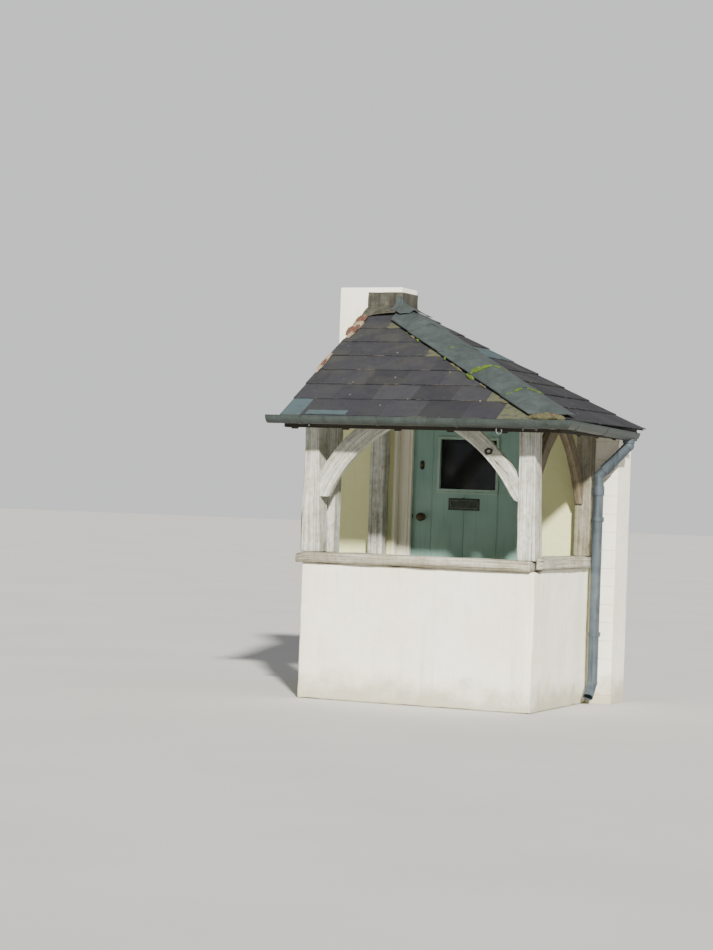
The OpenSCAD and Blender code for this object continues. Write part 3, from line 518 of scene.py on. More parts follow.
stepLook = {**woodLooks["sillOak"], "wet": 0.0}
materials = {
    "limewash": limewashMaterial(limewashLook), "rivenSlate": slateMaterial(slateFinish),
    "dimGlass": glassMaterial(glassLook),
    # the sawn roof timbers' dark colour is painted shade under the roof
    "sawnFront": woodMaterial("sawnFront", woodLooks["roofTimber"], grainTurns["inwards"]),
    "sawnSide": woodMaterial("sawnSide", woodLooks["roofTimber"], grainTurns["across"]),
    "sawnStep": woodMaterial("sawnStep", stepLook, grainTurns["across"]),
}
for make, kinds in ((woodMaterial, woodLooks), (metalMaterial, metalLooks), (paintMaterial, paintLooks),
                    (roughMaterial, roughLooks)):
    materials.update({name: make(name, look) for name, look in kinds.items()})
print("materials made")

# Shapes: each is a triple of points, four-sided faces and values for each point


def skin(xs, ys, zs):
    # the six sides of the box whose grid lines stand at xs, ys and zs, welded along its edges
    ticks = (np.asarray(xs), np.asarray(ys), np.asarray(zs))
    corners, quads, start = [], [], 0
    for axis in range(3):
        a, b = (axis + 1) % 3, (axis + 2) % 3
        for end in (0, 1):
            ia, ib = np.meshgrid(np.arange(len(ticks[a])), np.arange(len(ticks[b])), indexing="ij")
            index = np.zeros((ia.size, 3), int)
            index[:, a], index[:, b] = ia.ravel(), ib.ravel()
            index[:, axis] = (len(ticks[axis]) - 1) * end
            face = np.arange(ia.size).reshape(ia.shape) + start
            quad = np.stack([face[:-1, :-1], face[1:, :-1], face[1:, 1:], face[:-1, 1:]], -1).reshape(-1, 4)
            quads.append(quad if end else quad[:, ::-1])
            corners.append(index)
            start += ia.size
    unique, back = np.unique(np.concatenate(corners), axis=0, return_inverse=True)
    points = np.stack([ticks[k][unique[:, k]] for k in range(3)], -1).astype(float)
    return points, back.reshape(-1)[np.concatenate(quads)]


def spread(length, step, arris):
    # grid lines from 0 to length: three close together in each arris, then about step apart
    inner = np.linspace(arris, length - arris, max(2, int(round((length - 2 * arris) / step)) + 1))
    ease = arris * np.array([0.0, 0.3, 0.65])
    return np.concatenate([ease, inner, length - ease[::-1]])


def ripple(points, scale, seed):
    # smooth noise of about -1 to 1: the mean of six sine waves with random headings
    dice = np.random.default_rng(seed)
    heading = dice.normal(size=(6, 3))
    heading /= np.linalg.norm(heading, axis=1, keepdims=True)
    length = scale * dice.uniform(0.6, 1.6, 6)
    waves = points @ (heading / length[:, None] * 2 * np.pi).T + dice.uniform(0, 2 * np.pi, 6)
    return np.sin(waves).mean(axis=1) * 1.8


def softBox(low, size, arris, step, wave=0.0, seed=0, along=1.0):
    # a box of this size with its lowest corner at low; with q the point p held inside the box shrunk by
    # the arris, p goes to q + (arris + wave * noise) * (p - q) / |p - q|, and along slows the noise along X
    size = np.array(size, float)
    points, quads = skin(*(spread(side, step[k], arris) for k, side in enumerate(size)))
    held = np.clip(points, arris, size - arris)
    away = points - held
    reach = np.linalg.norm(away, axis=1, keepdims=True)
    slowed = points * [along, 1, 1]
    uneven = ripple(slowed, 0.16, seed) + 0.4 * ripple(slowed, 0.05, seed + 1)
    return held + away / reach * (arris + wave * uneven[:, None]) + low, quads, {}


def joined(parts):
    # the triples as one
    counts = np.cumsum([0] + [len(points) for points, _, _ in parts])
    points = np.concatenate([part[0] for part in parts])
    quads = np.concatenate([part[1] + count for part, count in zip(parts, counts)])
    values = {label: np.concatenate([part[2][label] for part in parts]) for label in parts[0][2]}
    return points, quads, values


def flipped(shape):
    # the same shape with its faces turned round, where its place mirrors it
    points, quads, extra = shape
    return points, quads[:, ::-1], extra


def addPiece(name, shape, material, replaces=None, body="porch", sharp=None):
    points, quads, extra = shape
    mesh = bpy.data.meshes.new(name)
    mesh.vertices.add(len(points))
    mesh.vertices.foreach_set("co", np.asarray(points, np.float32).ravel())
    mesh.loops.add(quads.size)
    mesh.loops.foreach_set("vertex_index", quads.astype(np.int32).ravel())
    mesh.polygons.add(len(quads))
    mesh.polygons.foreach_set("loop_start", np.arange(len(quads), dtype=np.int32) * 4)
    mesh.polygons.foreach_set("loop_total", np.full(len(quads), 4, np.int32))
    mesh.update(calc_edges=True)
    mesh.validate()
    mesh.shade_smooth()
    if sharp:
        mesh.set_sharp_from_angle(angle=math.radians(sharp))
    for label, values in extra.items():
        kind, field = ("FLOAT_VECTOR", "vector") if values.ndim == 2 else ("FLOAT", "value")
        data = mesh.attributes.new(label, kind, "POINT").data
        data.foreach_set(field, values.astype(np.float32).ravel())
    mesh.materials.append(materials[material])
    piece = bpy.data.objects.new(name, mesh)
    scene.collection.objects.link(piece)
    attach(piece, body)
    if replaces:
        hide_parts(replaces)


def lump(length, width, height, seed, place, step, uneven=0.3):
    # a low cushion from 0 to length along X: a soft box whose width and height swell and shrink with
    # noise, and with sin(pi * x / length) ** 0.4 towards its ends
    points, quads, extra = softBox(0, (length, width, height), height * 0.45, (step, step, step),
                                   height * 0.15, seed)
    swell = 1 - uneven + uneven * ripple(points * [1, 0, 0], 0.07, seed + 7)
    swell *= np.clip(np.sin(np.pi * points[:, 0] / length), 0.02, 1) ** 0.4
    rise = points[:, 2] * swell * (1 + 0.15 * ripple(points, 0.012, seed + 9))
    return place(points[:, 0], (points[:, 1] - width / 2) * swell, rise), quads, extra


def turned(profile, around, place):
    # (radius, height) pairs spun about the height's axis; discs close the ends, and the square grid that
    # fills one sends (x, y) to max(|x|, |y|) times the radius in its own direction
    ticks = np.tan(np.linspace(-math.pi / 4, math.pi / 4, around // 4 + 1))
    grid, quads = skin(ticks, ticks, np.arange(len(profile)))
    radius, height = np.array(profile)[grid[:, 2].astype(int)].T
    x, y = grid[:, 0], grid[:, 1]
    scale = radius * np.maximum(np.abs(x), np.abs(y)) / np.maximum(np.hypot(x, y), 1e-9)
    return place(x * scale, y * scale, height), quads, {}


def ring(radius, thick, place, around=40, section=10):
    # a torus: ((radius + thick cos p) cos t, (radius + thick cos p) sin t, thick sin p)
    t, p = np.meshgrid(np.arange(around), np.arange(section), indexing="ij")
    index = t * section + p
    right, over = (t + 1) % around * section + p, t * section + (p + 1) % section
    both = (t + 1) % around * section + (p + 1) % section
    quads = np.stack([index, right, both, over], -1).reshape(-1, 4)
    t, p = t.ravel() * 2 * math.pi / around, p.ravel() * 2 * math.pi / section
    out = radius + thick * np.cos(p)
    return place(out * np.cos(t), out * np.sin(t), thick * np.sin(p)), quads, {}


def tube(path, radius, around=12):
    # a round section carried along a path: at each point it lies square to the tangent
    path = np.array(path, float)
    tangent = np.gradient(path, axis=0)
    tangent /= np.linalg.norm(tangent, axis=1, keepdims=True)
    first = np.cross(tangent, [0.31, 0.87, 0.38])
    first /= np.linalg.norm(first, axis=1, keepdims=True)
    second = np.cross(tangent, first)
    steps = [(radius, float(k)) for k in range(len(path))]

    def place(x, y, h):
        k = h.astype(int)
        return path[k] + x[:, None] * first[k] + y[:, None] * second[k]

    return turned(steps, around, place)


timberLook = {"arris": 0.008, "wave": 0.0035, "step": (0.03, 0.022, 0.022)}
braceTimber = {"arris": 0.006, "wave": 0.003, "step": (0.02, 0.014, 0.014)}


def timber(length, width, depth, place, seed, look=timberLook):
    # a hewn timber: a soft box with X along its length, then carried to its place; its grain
    # attribute keeps the place in the straight box, with an offset of its own
    size = (length, width, depth)
    points, quads, _ = softBox(0, size, look["arris"], look["step"], look["wave"], seed, 0.3)
    grain = points + np.random.default_rng(seed).uniform(0, 30, 3)
    return place(points), quads, {"grain": grain}


postLooks = {
    # lean gives the (left, right) sides at the foot and at the top
    "frontLeftPost": {"node": "front_left_post", "seed": 11, "lean": ((-0.906, -0.756), (-0.895, -0.788))},
    "frontRightPost": {"node": "front_right_post", "seed": 12, "lean": ((0.767, 0.900), (0.755, 0.872))},
    "entrancePost": {"node": "entrance_post", "seed": 13},
    "rearLeftPost": {"node": "rear_left_post", "seed": 14},
    "rearRightPost": {"node": "rear_right_post", "seed": 15, "material": "dampOak"},
}


def addPost(name, post):
    # an upright timber as high and deep as its node; its sides go evenly from foot to top
    low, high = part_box(post["node"])
    sides = (low[0], high[0])
    (left0, right0), (left1, right1) = post.get("lean", (sides, sides))

    def place(p):
        t = p[:, 0] / (high[2] - low[2])
        left, right = left0 + (left1 - left0) * t, right0 + (right1 - right0) * t
        u = p[:, 1] / (high[0] - low[0])
        return np.stack([left + u * (right - left), low[1] + p[:, 2], low[2] + p[:, 0]], -1)

    shape = timber(high[2] - low[2], high[0] - low[0], high[1] - low[1], place, post["seed"])
    addPiece(name, shape, post.get("material", "oak"), post["node"])


plateLooks = {
    "frontPlate": {"node": "front_plate", "seed": 21, "alongX": True},
    "sidePlate": {"node": "side_plate", "seed": 22, "alongX": False},
    "leftPlate": {"node": "left_plate", "seed": 23, "alongX": False},
}


def addPlate(name, plate):
    # a level timber that fills its node's box, along X, or along Y with its width towards -X
    low, high = (np.array(c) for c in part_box(plate["node"]))
    size = high - low
    spans = size if plate["alongX"] else size[[1, 0, 2]]

    def place(p):
        if plate["alongX"]:
            return low + p
        return low + np.stack([size[0] - p[:, 1], p[:, 0], p[:, 2]], -1)

    addPiece(name, timber(*spans, place, plate["seed"]), "oak", plate["node"])


braceLooks = {
    # toe, drop, span, bow and width of the curve, and how far its nose is rounded; start is its corner,
    # where the plate meets the post
    "frontLeftBrace": {"node": "front_left_brace", "toe": 0.068, "drop": 0.536, "span": 0.610, "bow": 0.075,
                       "width": 0.145, "start": (-0.770, -1.188), "heading": (1, 0), "seed": 31},
    "frontRightBrace": {"node": "front_right_brace", "toe": 0.034, "drop": 0.526, "span": 0.570,
                        "bow": 0.058, "width": 0.110, "nose": 0.016, "start": (0.760, -1.188),
                        "heading": (-1, 0), "seed": 32},
    "sideFrontBrace": {"node": "side_front_brace", "toe": 0.020, "drop": 0.400, "span": 0.430, "bow": 0.045,
                       "width": 0.105, "start": (0.810, -1.050), "heading": (0, 1), "seed": 33,
                       "material": "brownOak"},
    "sideRearBrace": {"node": "side_rear_brace", "toe": 0.020, "drop": 0.530, "span": 0.470, "bow": 0.050,
                      "width": 0.105, "start": (0.810, -0.100), "heading": (0, -1), "seed": 34,
                      "material": "brownOak"},
}
braceDepth = 0.056
noseLong, noseWide = 0.05, 0.03  # how much of a brace's foot its nose takes
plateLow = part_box("front_plate")[0][2]


def addBrace(name, b):
    # rings about a centre: the radius grows from the inner edge, and each ring runs between the
    # angles where it meets the level of the foot and of the plate
    run, drop = b["span"] - b["toe"], b["drop"]
    chord = math.hypot(run, drop)
    radius = chord ** 2 / (8 * b["bow"]) + b["bow"] / 2
    cx = (b["span"] + b["toe"]) / 2 + (radius - b["bow"]) * drop / chord
    cz = -drop / 2 - (radius - b["bow"]) * run / chord
    arc = chord * 1.04  # about the arc's length, for the grid
    hx, hy = b["heading"]

    def place(p):
        reach = radius + p[:, 1]
        foot = np.pi - np.arcsin(np.clip((-drop - cz) / reach, -1, 1))
        head = np.pi - np.arcsin(np.clip(-cz / reach, -1, 1))
        angle = foot + (head - foot) * p[:, 0] / arc
        out, up = cx + reach * np.cos(angle), cz + reach * np.sin(angle)
        nose = np.clip(1 - p[:, 0] / noseLong, 0, 1) * np.clip(1 - p[:, 1] / noseWide, 0, 1) ** 2
        up = up + b.get("nose", 0) * nose
        x = b["start"][0] + hx * out + abs(hy) * p[:, 2]
        y = b["start"][1] + hy * out + abs(hx) * p[:, 2]
        return np.stack([x, y, plateLow + up], -1)

    shape = timber(arc, b["width"], braceDepth, place, b["seed"], braceTimber)
    mirrored = b["heading"] in ((1, 0), (0, -1))
    addPiece(name, flipped(shape) if mirrored else shape, b.get("material", "oak"), b["node"])


# the dark ring of a knot on the right brace's face, at (x, z)
knot = {"centre": (0.526, 1.822), "radius": 0.021, "thick": 0.0085, "face": -1.1895, "flat": 0.22,
        "low": 0.9}


def braceKnot(k):
    # a ring whose radius grows by 1 + 0.10 sin(2t + 1) + 0.05 sin 5t, flattened against the face
    def place(x, y, h):
        t = np.arctan2(y, x)
        uneven = 1 + 0.10 * np.sin(2 * t + 1) + 0.05 * np.sin(5 * t)
        return np.stack([k["centre"][0] + x * uneven, k["face"] - k["flat"] * h,
                         k["centre"][1] + k["low"] * y * uneven], -1)

    points, quads, _ = ring(k["radius"], k["thick"], place)
    addPiece("braceKnot", (points, quads, {"grain": points}), "roofTimber")


for addTimber, timberLooks in ((addPost, postLooks), (addPlate, plateLooks), (addBrace, braceLooks)):
    for pieceName, pieceLook in timberLooks.items():
        addTimber(pieceName, pieceLook)
braceKnot(knot)
print("posts, plates and braces made")

sillLook = {"arris": 0.010, "wave": 0.004, "step": (0.03, 0.02, 0.02), "wane": 0.020, "waneLength": 0.085,
            "beamDeep": 0.207, "returnOver": 0.17, "returnLap": 0.01,
            "hornWide": 0.034, "hornLong": 0.15, "hornLap": 0.02, "hornEase": 0.012, "easeLong": 0.04}


def addFrontSill(look):
    # a long beam and a short return beside it; the beam's top falls by wane * (1 - x / waneLength) ** 1.5
    # towards its waney end
    low, high = (np.array(c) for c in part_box("front_sill"))
    size = high - low
    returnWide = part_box("front_dwarf_wall")[0][0] + look["returnOver"] - low[0]

    def placeBeam(p):
        fall = look["wane"] * np.clip(1 - p[:, 0] / look["waneLength"], 0, 1) ** 1.5
        return low + np.stack([p[:, 0], p[:, 1], p[:, 2] * (1 - fall / size[2])], -1)

    def placeReturn(p):
        behind = look["beamDeep"] - look["returnLap"] + p[:, 0]
        return low + np.stack([returnWide - p[:, 1], behind, p[:, 2]], -1)

    beam = timber(size[0], look["beamDeep"], size[2], placeBeam, 41, look)
    back = timber(size[1] - look["beamDeep"] + look["returnLap"], returnWide, size[2], placeReturn, 42, look)
    addPiece("frontSill", joined([beam, back]), "sillOak", "front_sill")


def addSideSill(look):
    # a beam along the side wall, with a narrow horn past the corner post, rounded at its end by
    # hornEase * (1 - y / easeLong) ** 2
    low, high = (np.array(c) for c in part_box("side_sill"))
    size = high - low

    def placeBeam(p):
        return np.stack([high[0] - p[:, 1], low[1] + look["hornLong"] + p[:, 0], low[2] + p[:, 2]], -1)

    def placeHorn(p):
        ease = look["hornEase"] * np.clip(1 - p[:, 0] / look["easeLong"], 0, 1) ** 2
        ease *= 1 - p[:, 1] / look["hornWide"]
        return np.stack([high[0] - p[:, 1] - ease, low[1] + p[:, 0], low[2] + p[:, 2]], -1)

    beam = timber(size[1] - look["hornLong"], size[0], size[2], placeBeam, 43, look)
    horn = timber(look["hornLong"] + look["hornLap"], look["hornWide"], size[2], placeHorn, 44, look)
    addPiece("sideSill", joined([beam, horn]), "sillOak", "side_sill")


addFrontSill(sillLook)
addSideSill(sillLook)
print("sills made")

wallLook = {"arris": 0.014, "wave": 0.004, "step": (0.06, 0.06, 0.06), "thick": 0.15, "ease": 0.02,
            "short": 0.03, "lap": 0.02, "behind": 0.001}
frontLow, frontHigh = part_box("front_dwarf_wall")
sideLow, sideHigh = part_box("side_dwarf_wall")
innerFace = frontLow[1] + wallLook["thick"]  # y of the front wall's inner face


def addWall(name, node, boxes, look):
    # rendered masonry: soft boxes with a slow unevenness; z * frontTop / top brings the top of the side
    # wall down to that of the front wall where they meet
    parts = [softBox(low, np.subtract(high, low), look["arris"], look["step"], look["wave"], 51 + k)
             for k, (low, high) in enumerate(boxes)]
    points, quads, extra = joined(parts)
    top = boxes[0][1][2]
    points[:, 2] *= 1 - (top - frontHigh[2]) / top * np.clip((innerFace - points[:, 1]) / look["ease"], 0, 1)
    points[:, 2] = np.maximum(points[:, 2], 0)
    addPiece(name, (points, quads, extra), "limewash", node)


addWall("frontDwarfWall", "front_dwarf_wall", [
    (frontLow, (frontHigh[0] - wallLook["short"], innerFace, frontHigh[2])),
    ((frontLow[0], innerFace - wallLook["lap"], 0),
     (frontLow[0] + wallLook["thick"], frontHigh[1], frontHigh[2])),
], wallLook)
addWall("sideDwarfWall", "side_dwarf_wall", [
    ((sideLow[0], frontLow[1] + wallLook["behind"], 0), sideHigh),
], wallLook)
print("dwarf walls made")

flagLook = {
    "arris": 0.004, "wave": 0.0015, "step": (0.07, 0.07, 0.07), "thick": 0.018, "joint": 0.007,
    "bedStep": (0.2, 0.2, 0.2), "bedGap": 0.001,
    "left": -0.9, "back": 0.3, "front": -0.9,  # no joint left of left, nor in front of front
    # each bed and flag is (x from, x to, y from, y to)
    "beds": [(-0.9, 0.75, -0.95, 0), (-0.74, 0.75, -1.05, -0.94), (-0.68, 0.423, -0.01, 0.3)],
    "flags": [(-0.9, -0.74, -0.95, -0.52), (-0.9, -0.38, -0.52, 0), (-0.74, -0.22, -1.05, -0.52),
              (-0.38, 0.14, -0.52, 0), (-0.22, 0.27, -1.05, -0.52), (0.14, 0.75, -0.52, 0),
              (0.27, 0.75, -1.05, -0.52), (-0.68, -0.1, 0, 0.3), (-0.1, 0.423, 0, 0.3)],
}


def porchFlags(look):
    # a bed of mortar with flags on it: each flag is a soft box between two lines of x and two of y
    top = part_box("porch_floor")[1][2]
    bedTop = top - look["thick"] - look["bedGap"]
    beds = [softBox((x0, y0, 0), (x1 - x0, y1 - y0, bedTop), look["arris"], look["bedStep"])
            for x0, x1, y0, y1 in look["beds"]]
    addPiece("porchBed", joined(beds), "wornStone", "porch_floor")
    flags = []
    for k, (x0, x1, y0, y1) in enumerate(look["flags"]):
        x0 += look["joint"] if x0 > look["left"] else 0
        y0 += look["joint"] if y0 > look["front"] else 0
        flags.append(softBox((x0, y0, top - look["thick"]), (x1 - x0, y1 - y0, look["thick"]), look["arris"],
                             look["step"], look["wave"], 81 + k))
    points, quads, extra = joined(flags)
    points = np.clip(points, (look["left"], -np.inf, 0), (np.inf, look["back"], top))
    addPiece("porchFlags", (points, quads, extra), "wornStone", "porch_floor", sharp=50)


porchFlags(flagLook)
print("floor laid")

roof = {
    "eaveX": 1.17, "eaveY": -1.47, "eaveZ": 2.06,  # the slates' lower edges
    "rise": 0.87, "cornerX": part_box("wing_wall")[1][0], "vergeX": -0.96,
    "backY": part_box("wing_wall")[1][1],
    "gauge": 0.228, "slateWide": 0.305, "step": 0.0036, "under": 0.022, "overhang": 0.028, "slip": 0.012,
}
runY = -roof["eaveY"]
runX = roof["eaveX"] - roof["cornerX"]
frontPitch = math.atan(roof["rise"] / runY)
sidePitch = math.atan(roof["rise"] / runX)
frontLong = runY / math.cos(frontPitch)
sideLong = runX / math.cos(sidePitch)


def frontPlace(a, s, n):
    # a along +X, s up the front slope, n square to it
    return np.stack([a, roof["eaveY"] + s * math.cos(frontPitch) - n * math.sin(frontPitch),
                     roof["eaveZ"] + s * math.sin(frontPitch) + n * math.cos(frontPitch)], -1)


def sidePlace(a, s, n):
    # a along -Y, s up the side slope, n square to it
    return np.stack([roof["eaveX"] - s * math.cos(sidePitch) + n * math.sin(sidePitch), -a,
                     roof["eaveZ"] + s * math.sin(sidePitch) + n * math.cos(sidePitch)], -1)


slateLook = {
    "thick": 0.0066, "lap": 0.055, "hipGap": 0.012, "headGap": 0.012, "ridgeGap": 0.002, "smallest": 0.03,
    "wander": 0.018, "shrink": 0.0007, "across": 11, "up": 6,
    "ragged": 0.0028, "lift": 0.0034, "bitten": 0.35, "bite": 0.013, "twist": 0.005, "riven": 0.0008,
    # sheets under the slates: (from, to or None for the slope's top, underside, upper side)
    "sheets": [(-0.03, 0.2, -0.0135, -0.0075), (0.0, None, -roof["under"], -0.014)], "sheetGap": 0.004,
}
slopes = {
    # from and hip are its ends along the eave, and the hip comes in by lean for each metre up the slope.
    # blue picks whole slates, olive a stretch of a course, each by (row, from, to); strip is a narrow
    # blue slate laid on the eave, (from, to, height)
    "frontSlates": {"node": "front_slates", "place": frontPlace, "mirrored": False, "seed": 61,
                    "from": roof["vergeX"], "hip": roof["eaveX"], "lean": runX / frontLong, "long": frontLong,
                    "blue": [(0, -0.95, -0.86)], "strip": (-0.761, -0.446, 0.066),
                    "olive": [(0, 0.69, 1.2), (1, 0.53, 1.0), (4, -0.19, 0.0), (6, -0.67, -0.56)]},
    "sideSlates": {"node": "side_slates", "place": sidePlace, "mirrored": True, "seed": 62,
                   "from": -roof["backY"], "hip": -roof["eaveY"], "lean": runY / sideLong, "long": sideLong,
                   "blue": [(5, 0.0, 0.3)], "strip": None, "olive": []},
}


def layCourses(slope, look, dice):
    # the left, right, tail, head, row and lift of each slate: courses a gauge apart, every other one
    # shifted by half a slate, with joints that wander and heads that end under the hip's cover
    gauge, wide, lean = roof["gauge"], roof["slateWide"], slope["lean"]
    left, tail, row = [], [], []
    for k in range(int(math.ceil(slope["long"] / gauge))):
        begin = slope["from"] - (0.0 if k % 2 else 0.5 * wide)
        count = int(math.ceil((slope["hip"] - lean * k * gauge - begin) / wide))
        left.append(begin + wide * np.arange(count))
        tail.append(np.full(count, k * gauge))
        row.append(np.full(count, k))
    left, tail, row = (np.concatenate(v) for v in (left, tail, row))
    wander = dice.uniform(-look["wander"], look["wander"], len(left))
    right = left + wide + np.roll(wander, -1)
    left = np.maximum(left + wander, slope["from"])
    underHip = (slope["hip"] - look["hipGap"] - left - look["headGap"]) / lean
    head = np.minimum(np.minimum(tail + gauge + look["lap"], underHip), slope["long"] - look["ridgeGap"])
    keep = (head - tail > look["smallest"]) & (right - left > look["smallest"])
    left, right, tail, head, row = (v[keep] for v in (left, right, tail, head, row))
    raised = np.zeros(len(left))
    if slope["strip"]:
        start, end, high = slope["strip"]
        strip = (start, end, 0.0, high - roof["overhang"] - roof["slip"], 0, look["thick"] + 0.001)
        columns = (left, right, tail, head, row, raised)
        left, right, tail, head, row, raised = (np.append(v, one) for v, one in zip(columns, strip))
    return left, right, tail, head, row, raised


def riveSlates(slope, look):
    # each slate is a thin slab with u across it and v up it: a = left + u * (right - left), no further than
    # the hip, and s = tail + v * (head - tail). Its top falls from +step at the tail to -step at the next
    # tail, noise frays and bites its tail, and some slates lift or twist there. The eave's course hangs
    # over the gutter
    seed = slope["seed"]
    dice = np.random.default_rng(seed)
    left, right, tail, head, row, raised = layCourses(slope, look, dice)
    count, hipEdge = len(left), slope["hip"] - look["hipGap"]
    lowest = tail - roof["slip"] - roof["overhang"] * (row == 0)
    grid, quads = skin(np.linspace(0, 1, look["across"]), np.linspace(0, 1, look["up"]), [0.0, 1.0])
    u, v, w = (np.broadcast_to(grid[:, k], (count, len(grid))) for k in range(3))
    s = lowest[:, None] + v * (head - lowest)[:, None]
    end = np.minimum(right[:, None] - look["shrink"], hipEdge - slope["lean"] * s)
    a = left[:, None] + look["shrink"] + u * (end - left[:, None] - look["shrink"])
    flat = np.stack([a.ravel(), s.ravel(), row.repeat(len(grid)) * 1.7], -1)
    tailEdge = np.clip(1 - v * 3, 0, 1)
    jag = (ripple(flat, 0.045, seed + 3) + 0.6 * ripple(flat, 0.016, seed + 4)).reshape(a.shape)
    s = s + tailEdge * look["ragged"] * jag
    bitten = dice.uniform(0, 1, count) < look["bitten"]
    depth = np.where(bitten, dice.uniform(0.3, 1, count), 0) * look["bite"]
    corner = np.round(dice.uniform(0, 1, count))[:, None]
    reach = dice.uniform(0.12, 0.35, count)[:, None]
    s = s + tailEdge * depth[:, None] * np.clip(1 - np.abs(u - corner) / reach, 0, 1)
    lift = look["lift"] * dice.uniform(0, 1, count)[:, None] ** 3 * tailEdge + raised[:, None]
    twist = dice.uniform(-1, 1, count)[:, None] ** 3 * (u - 0.5) * look["twist"] * tailEdge
    top = roof["step"] - 2 * roof["step"] * (s - tail[:, None]) / roof["gauge"]
    riven = look["riven"] * ripple(flat, 0.07, seed + 5).reshape(a.shape)
    n = top + lift + twist + riven - (1 - w) * look["thick"]
    tiles = (quads[None] + (np.arange(count) * len(grid))[:, None, None]).reshape(-1, 4)
    # attributes: a tone for each slate, its odd colour, and how near each point is to its tail
    tone = np.repeat(np.clip(dice.normal(0.5, 0.12, count), 0, 1), len(grid))
    odd = raised > 0
    for k, low, high in slope["blue"]:
        odd |= (row == k) & (left < high) & (right > low)
    odd = np.repeat(odd, len(grid)).astype(float)
    rows, across = np.repeat(row, len(grid)), a.ravel()
    for k, low, high in slope["olive"]:
        odd[(rows == k) & (across > low) & (across < high)] = 0.5
    tails = (np.clip(1 - v * 5, 0, 1) * np.ones_like(a)).ravel()
    return slope["place"](across, s.ravel(), n.ravel()), tiles, {"tone": tone, "odd": odd, "tail": tails}


def underSheets(slope, look):
    # an under course that shows along the eave, and the boards' upper side, which closes the gaps between
    # the slates: flat slabs between the slope's two ends
    grid, quads = skin([0.0, 1.0], np.linspace(0, 1, 9), [0.0, 1.0])
    gap, sheets = look["sheetGap"], []
    for start, stop, low, high in look["sheets"]:
        s = start + grid[:, 1] * ((stop or slope["long"]) - start - gap)
        hipEdge = slope["hip"] - look["hipGap"] - slope["lean"] * s
        a = slope["from"] + gap + grid[:, 0] * (hipEdge - slope["from"] - gap)
        plain = np.zeros(len(s))
        points = slope["place"](a, s, low + grid[:, 2] * (high - low))
        sheets.append((points, quads, {"tone": plain + 0.4, "odd": plain, "tail": plain}))
    return sheets


for pieceName, slope in slopes.items():
    slating = joined([riveSlates(slope, slateLook), *underSheets(slope, slateLook)])
    slating = flipped(slating) if slope["mirrored"] else slating
    addPiece(pieceName, slating, "rivenSlate", slope["node"], sharp=40)
print("slates laid")

hip = {"wing": 0.180, "lap": 0.490, "thick": 0.005, "base": 0.023, "edge": 0.019, "fold": 0.010,
       "foot": -0.018, "under": 0.03, "turnIn": 0.012, "wallGap": 0.010, "frontGap": 0.006, "wave": 0.0014}
eaveCorner = np.array([roof["eaveX"], roof["eaveY"], roof["eaveZ"]])
hipWay = np.array([-runX, runY, roof["rise"]])
hipLong = float(np.linalg.norm(hipWay))
hipWay = hipWay / hipLong
frontNormal = np.array([0, -math.sin(frontPitch), math.cos(frontPitch)])
sideNormal = np.array([math.sin(sidePitch), 0, math.cos(sidePitch)])
frontWing = np.cross(frontNormal, hipWay)
frontWing *= -np.sign(frontWing[0])
sideWing = np.cross(sideNormal, hipWay)
sideWing *= np.sign(sideWing[1])
hipUp = (frontNormal + sideNormal) / np.linalg.norm(frontNormal + sideNormal)
lapCount = int(hipLong // hip["lap"])
firstLap = hipLong - lapCount * hip["lap"]


def coverPoint(a, b, height):
    # a across the fold and b up the hip: b * hipWay + f(-a) * frontWing + f(a) * sideWing + height * hipUp,
    # where f(a) = (a + sqrt(a * a + fold * fold)) / 2
    root = np.sqrt(a * a + hip["fold"] ** 2)
    across = ((root - a) / 2)[:, None] * frontWing + ((root + a) / 2)[:, None] * sideWing
    return eaveCorner + b[:, None] * hipWay + across + height[:, None] * hipUp


def hipCover(look):
    # lengths that lap: each stands highest at its foot, falls evenly to its head, and its edges turn down
    # towards the slates by the square of their nearness to the edge
    laps = [firstLap + k * look["lap"] for k in range(1, lapCount + 1)]
    edge = look["wing"]
    near = np.array([0, 0.003, 0.007, 0.012])
    side = np.concatenate([-edge + near, np.linspace(-edge + 0.03, -0.015, 11), np.linspace(-0.01, 0.01, 7),
                           np.linspace(0.015, edge - 0.03, 11), edge - near[::-1]])
    grid, quads = skin(np.linspace(0, 1, 22), side, [0.0, 1.0])
    v, a, w = grid[:, 0], grid[:, 1], grid[:, 2]
    parts = []
    for k, (start, end) in enumerate(zip([0.0] + laps[:-1], laps)):
        low = np.full(len(v), start)
        if k == 0:
            # the lowest length is cut level with the two eaves
            level = np.where(a < 0, -a * abs(frontWing[1]) / hipWay[1], a * sideWing[0] / abs(hipWay[0]))
            low = level + look["foot"]
        head = np.full(len(v), end + (look["under"] if k < lapCount - 1 else 0.0))
        topSide = (-look["wallGap"] - roof["eaveY"] - sideWing[1] * a) / hipWay[1]
        topFront = (runX - look["frontGap"] - abs(frontWing[0]) * -a) / abs(hipWay[0])
        head = np.minimum(head, np.where(a > 0, topSide, topFront))
        b = low + v * (head - low)
        foot = np.clip(1 - (b - low) / look["lap"], 0, 1)
        bent = np.clip((np.abs(a) - edge + look["turnIn"]) / look["turnIn"], 0, 1)
        height = look["base"] + foot * look["thick"] * 1.25 - (look["base"] - look["edge"]) * bent ** 2
        flat = np.stack([b, a, np.full(len(b), k * 3.1)], -1)
        height = height + look["wave"] * ripple(flat, 0.12, 71) + w * look["thick"]
        parts.append((coverPoint(a, b, height), quads, {}))
    addPiece("hipCover", flipped(joined(parts)), "weatheredLead", "hip_cover", sharp=50)


hipCover(hip)

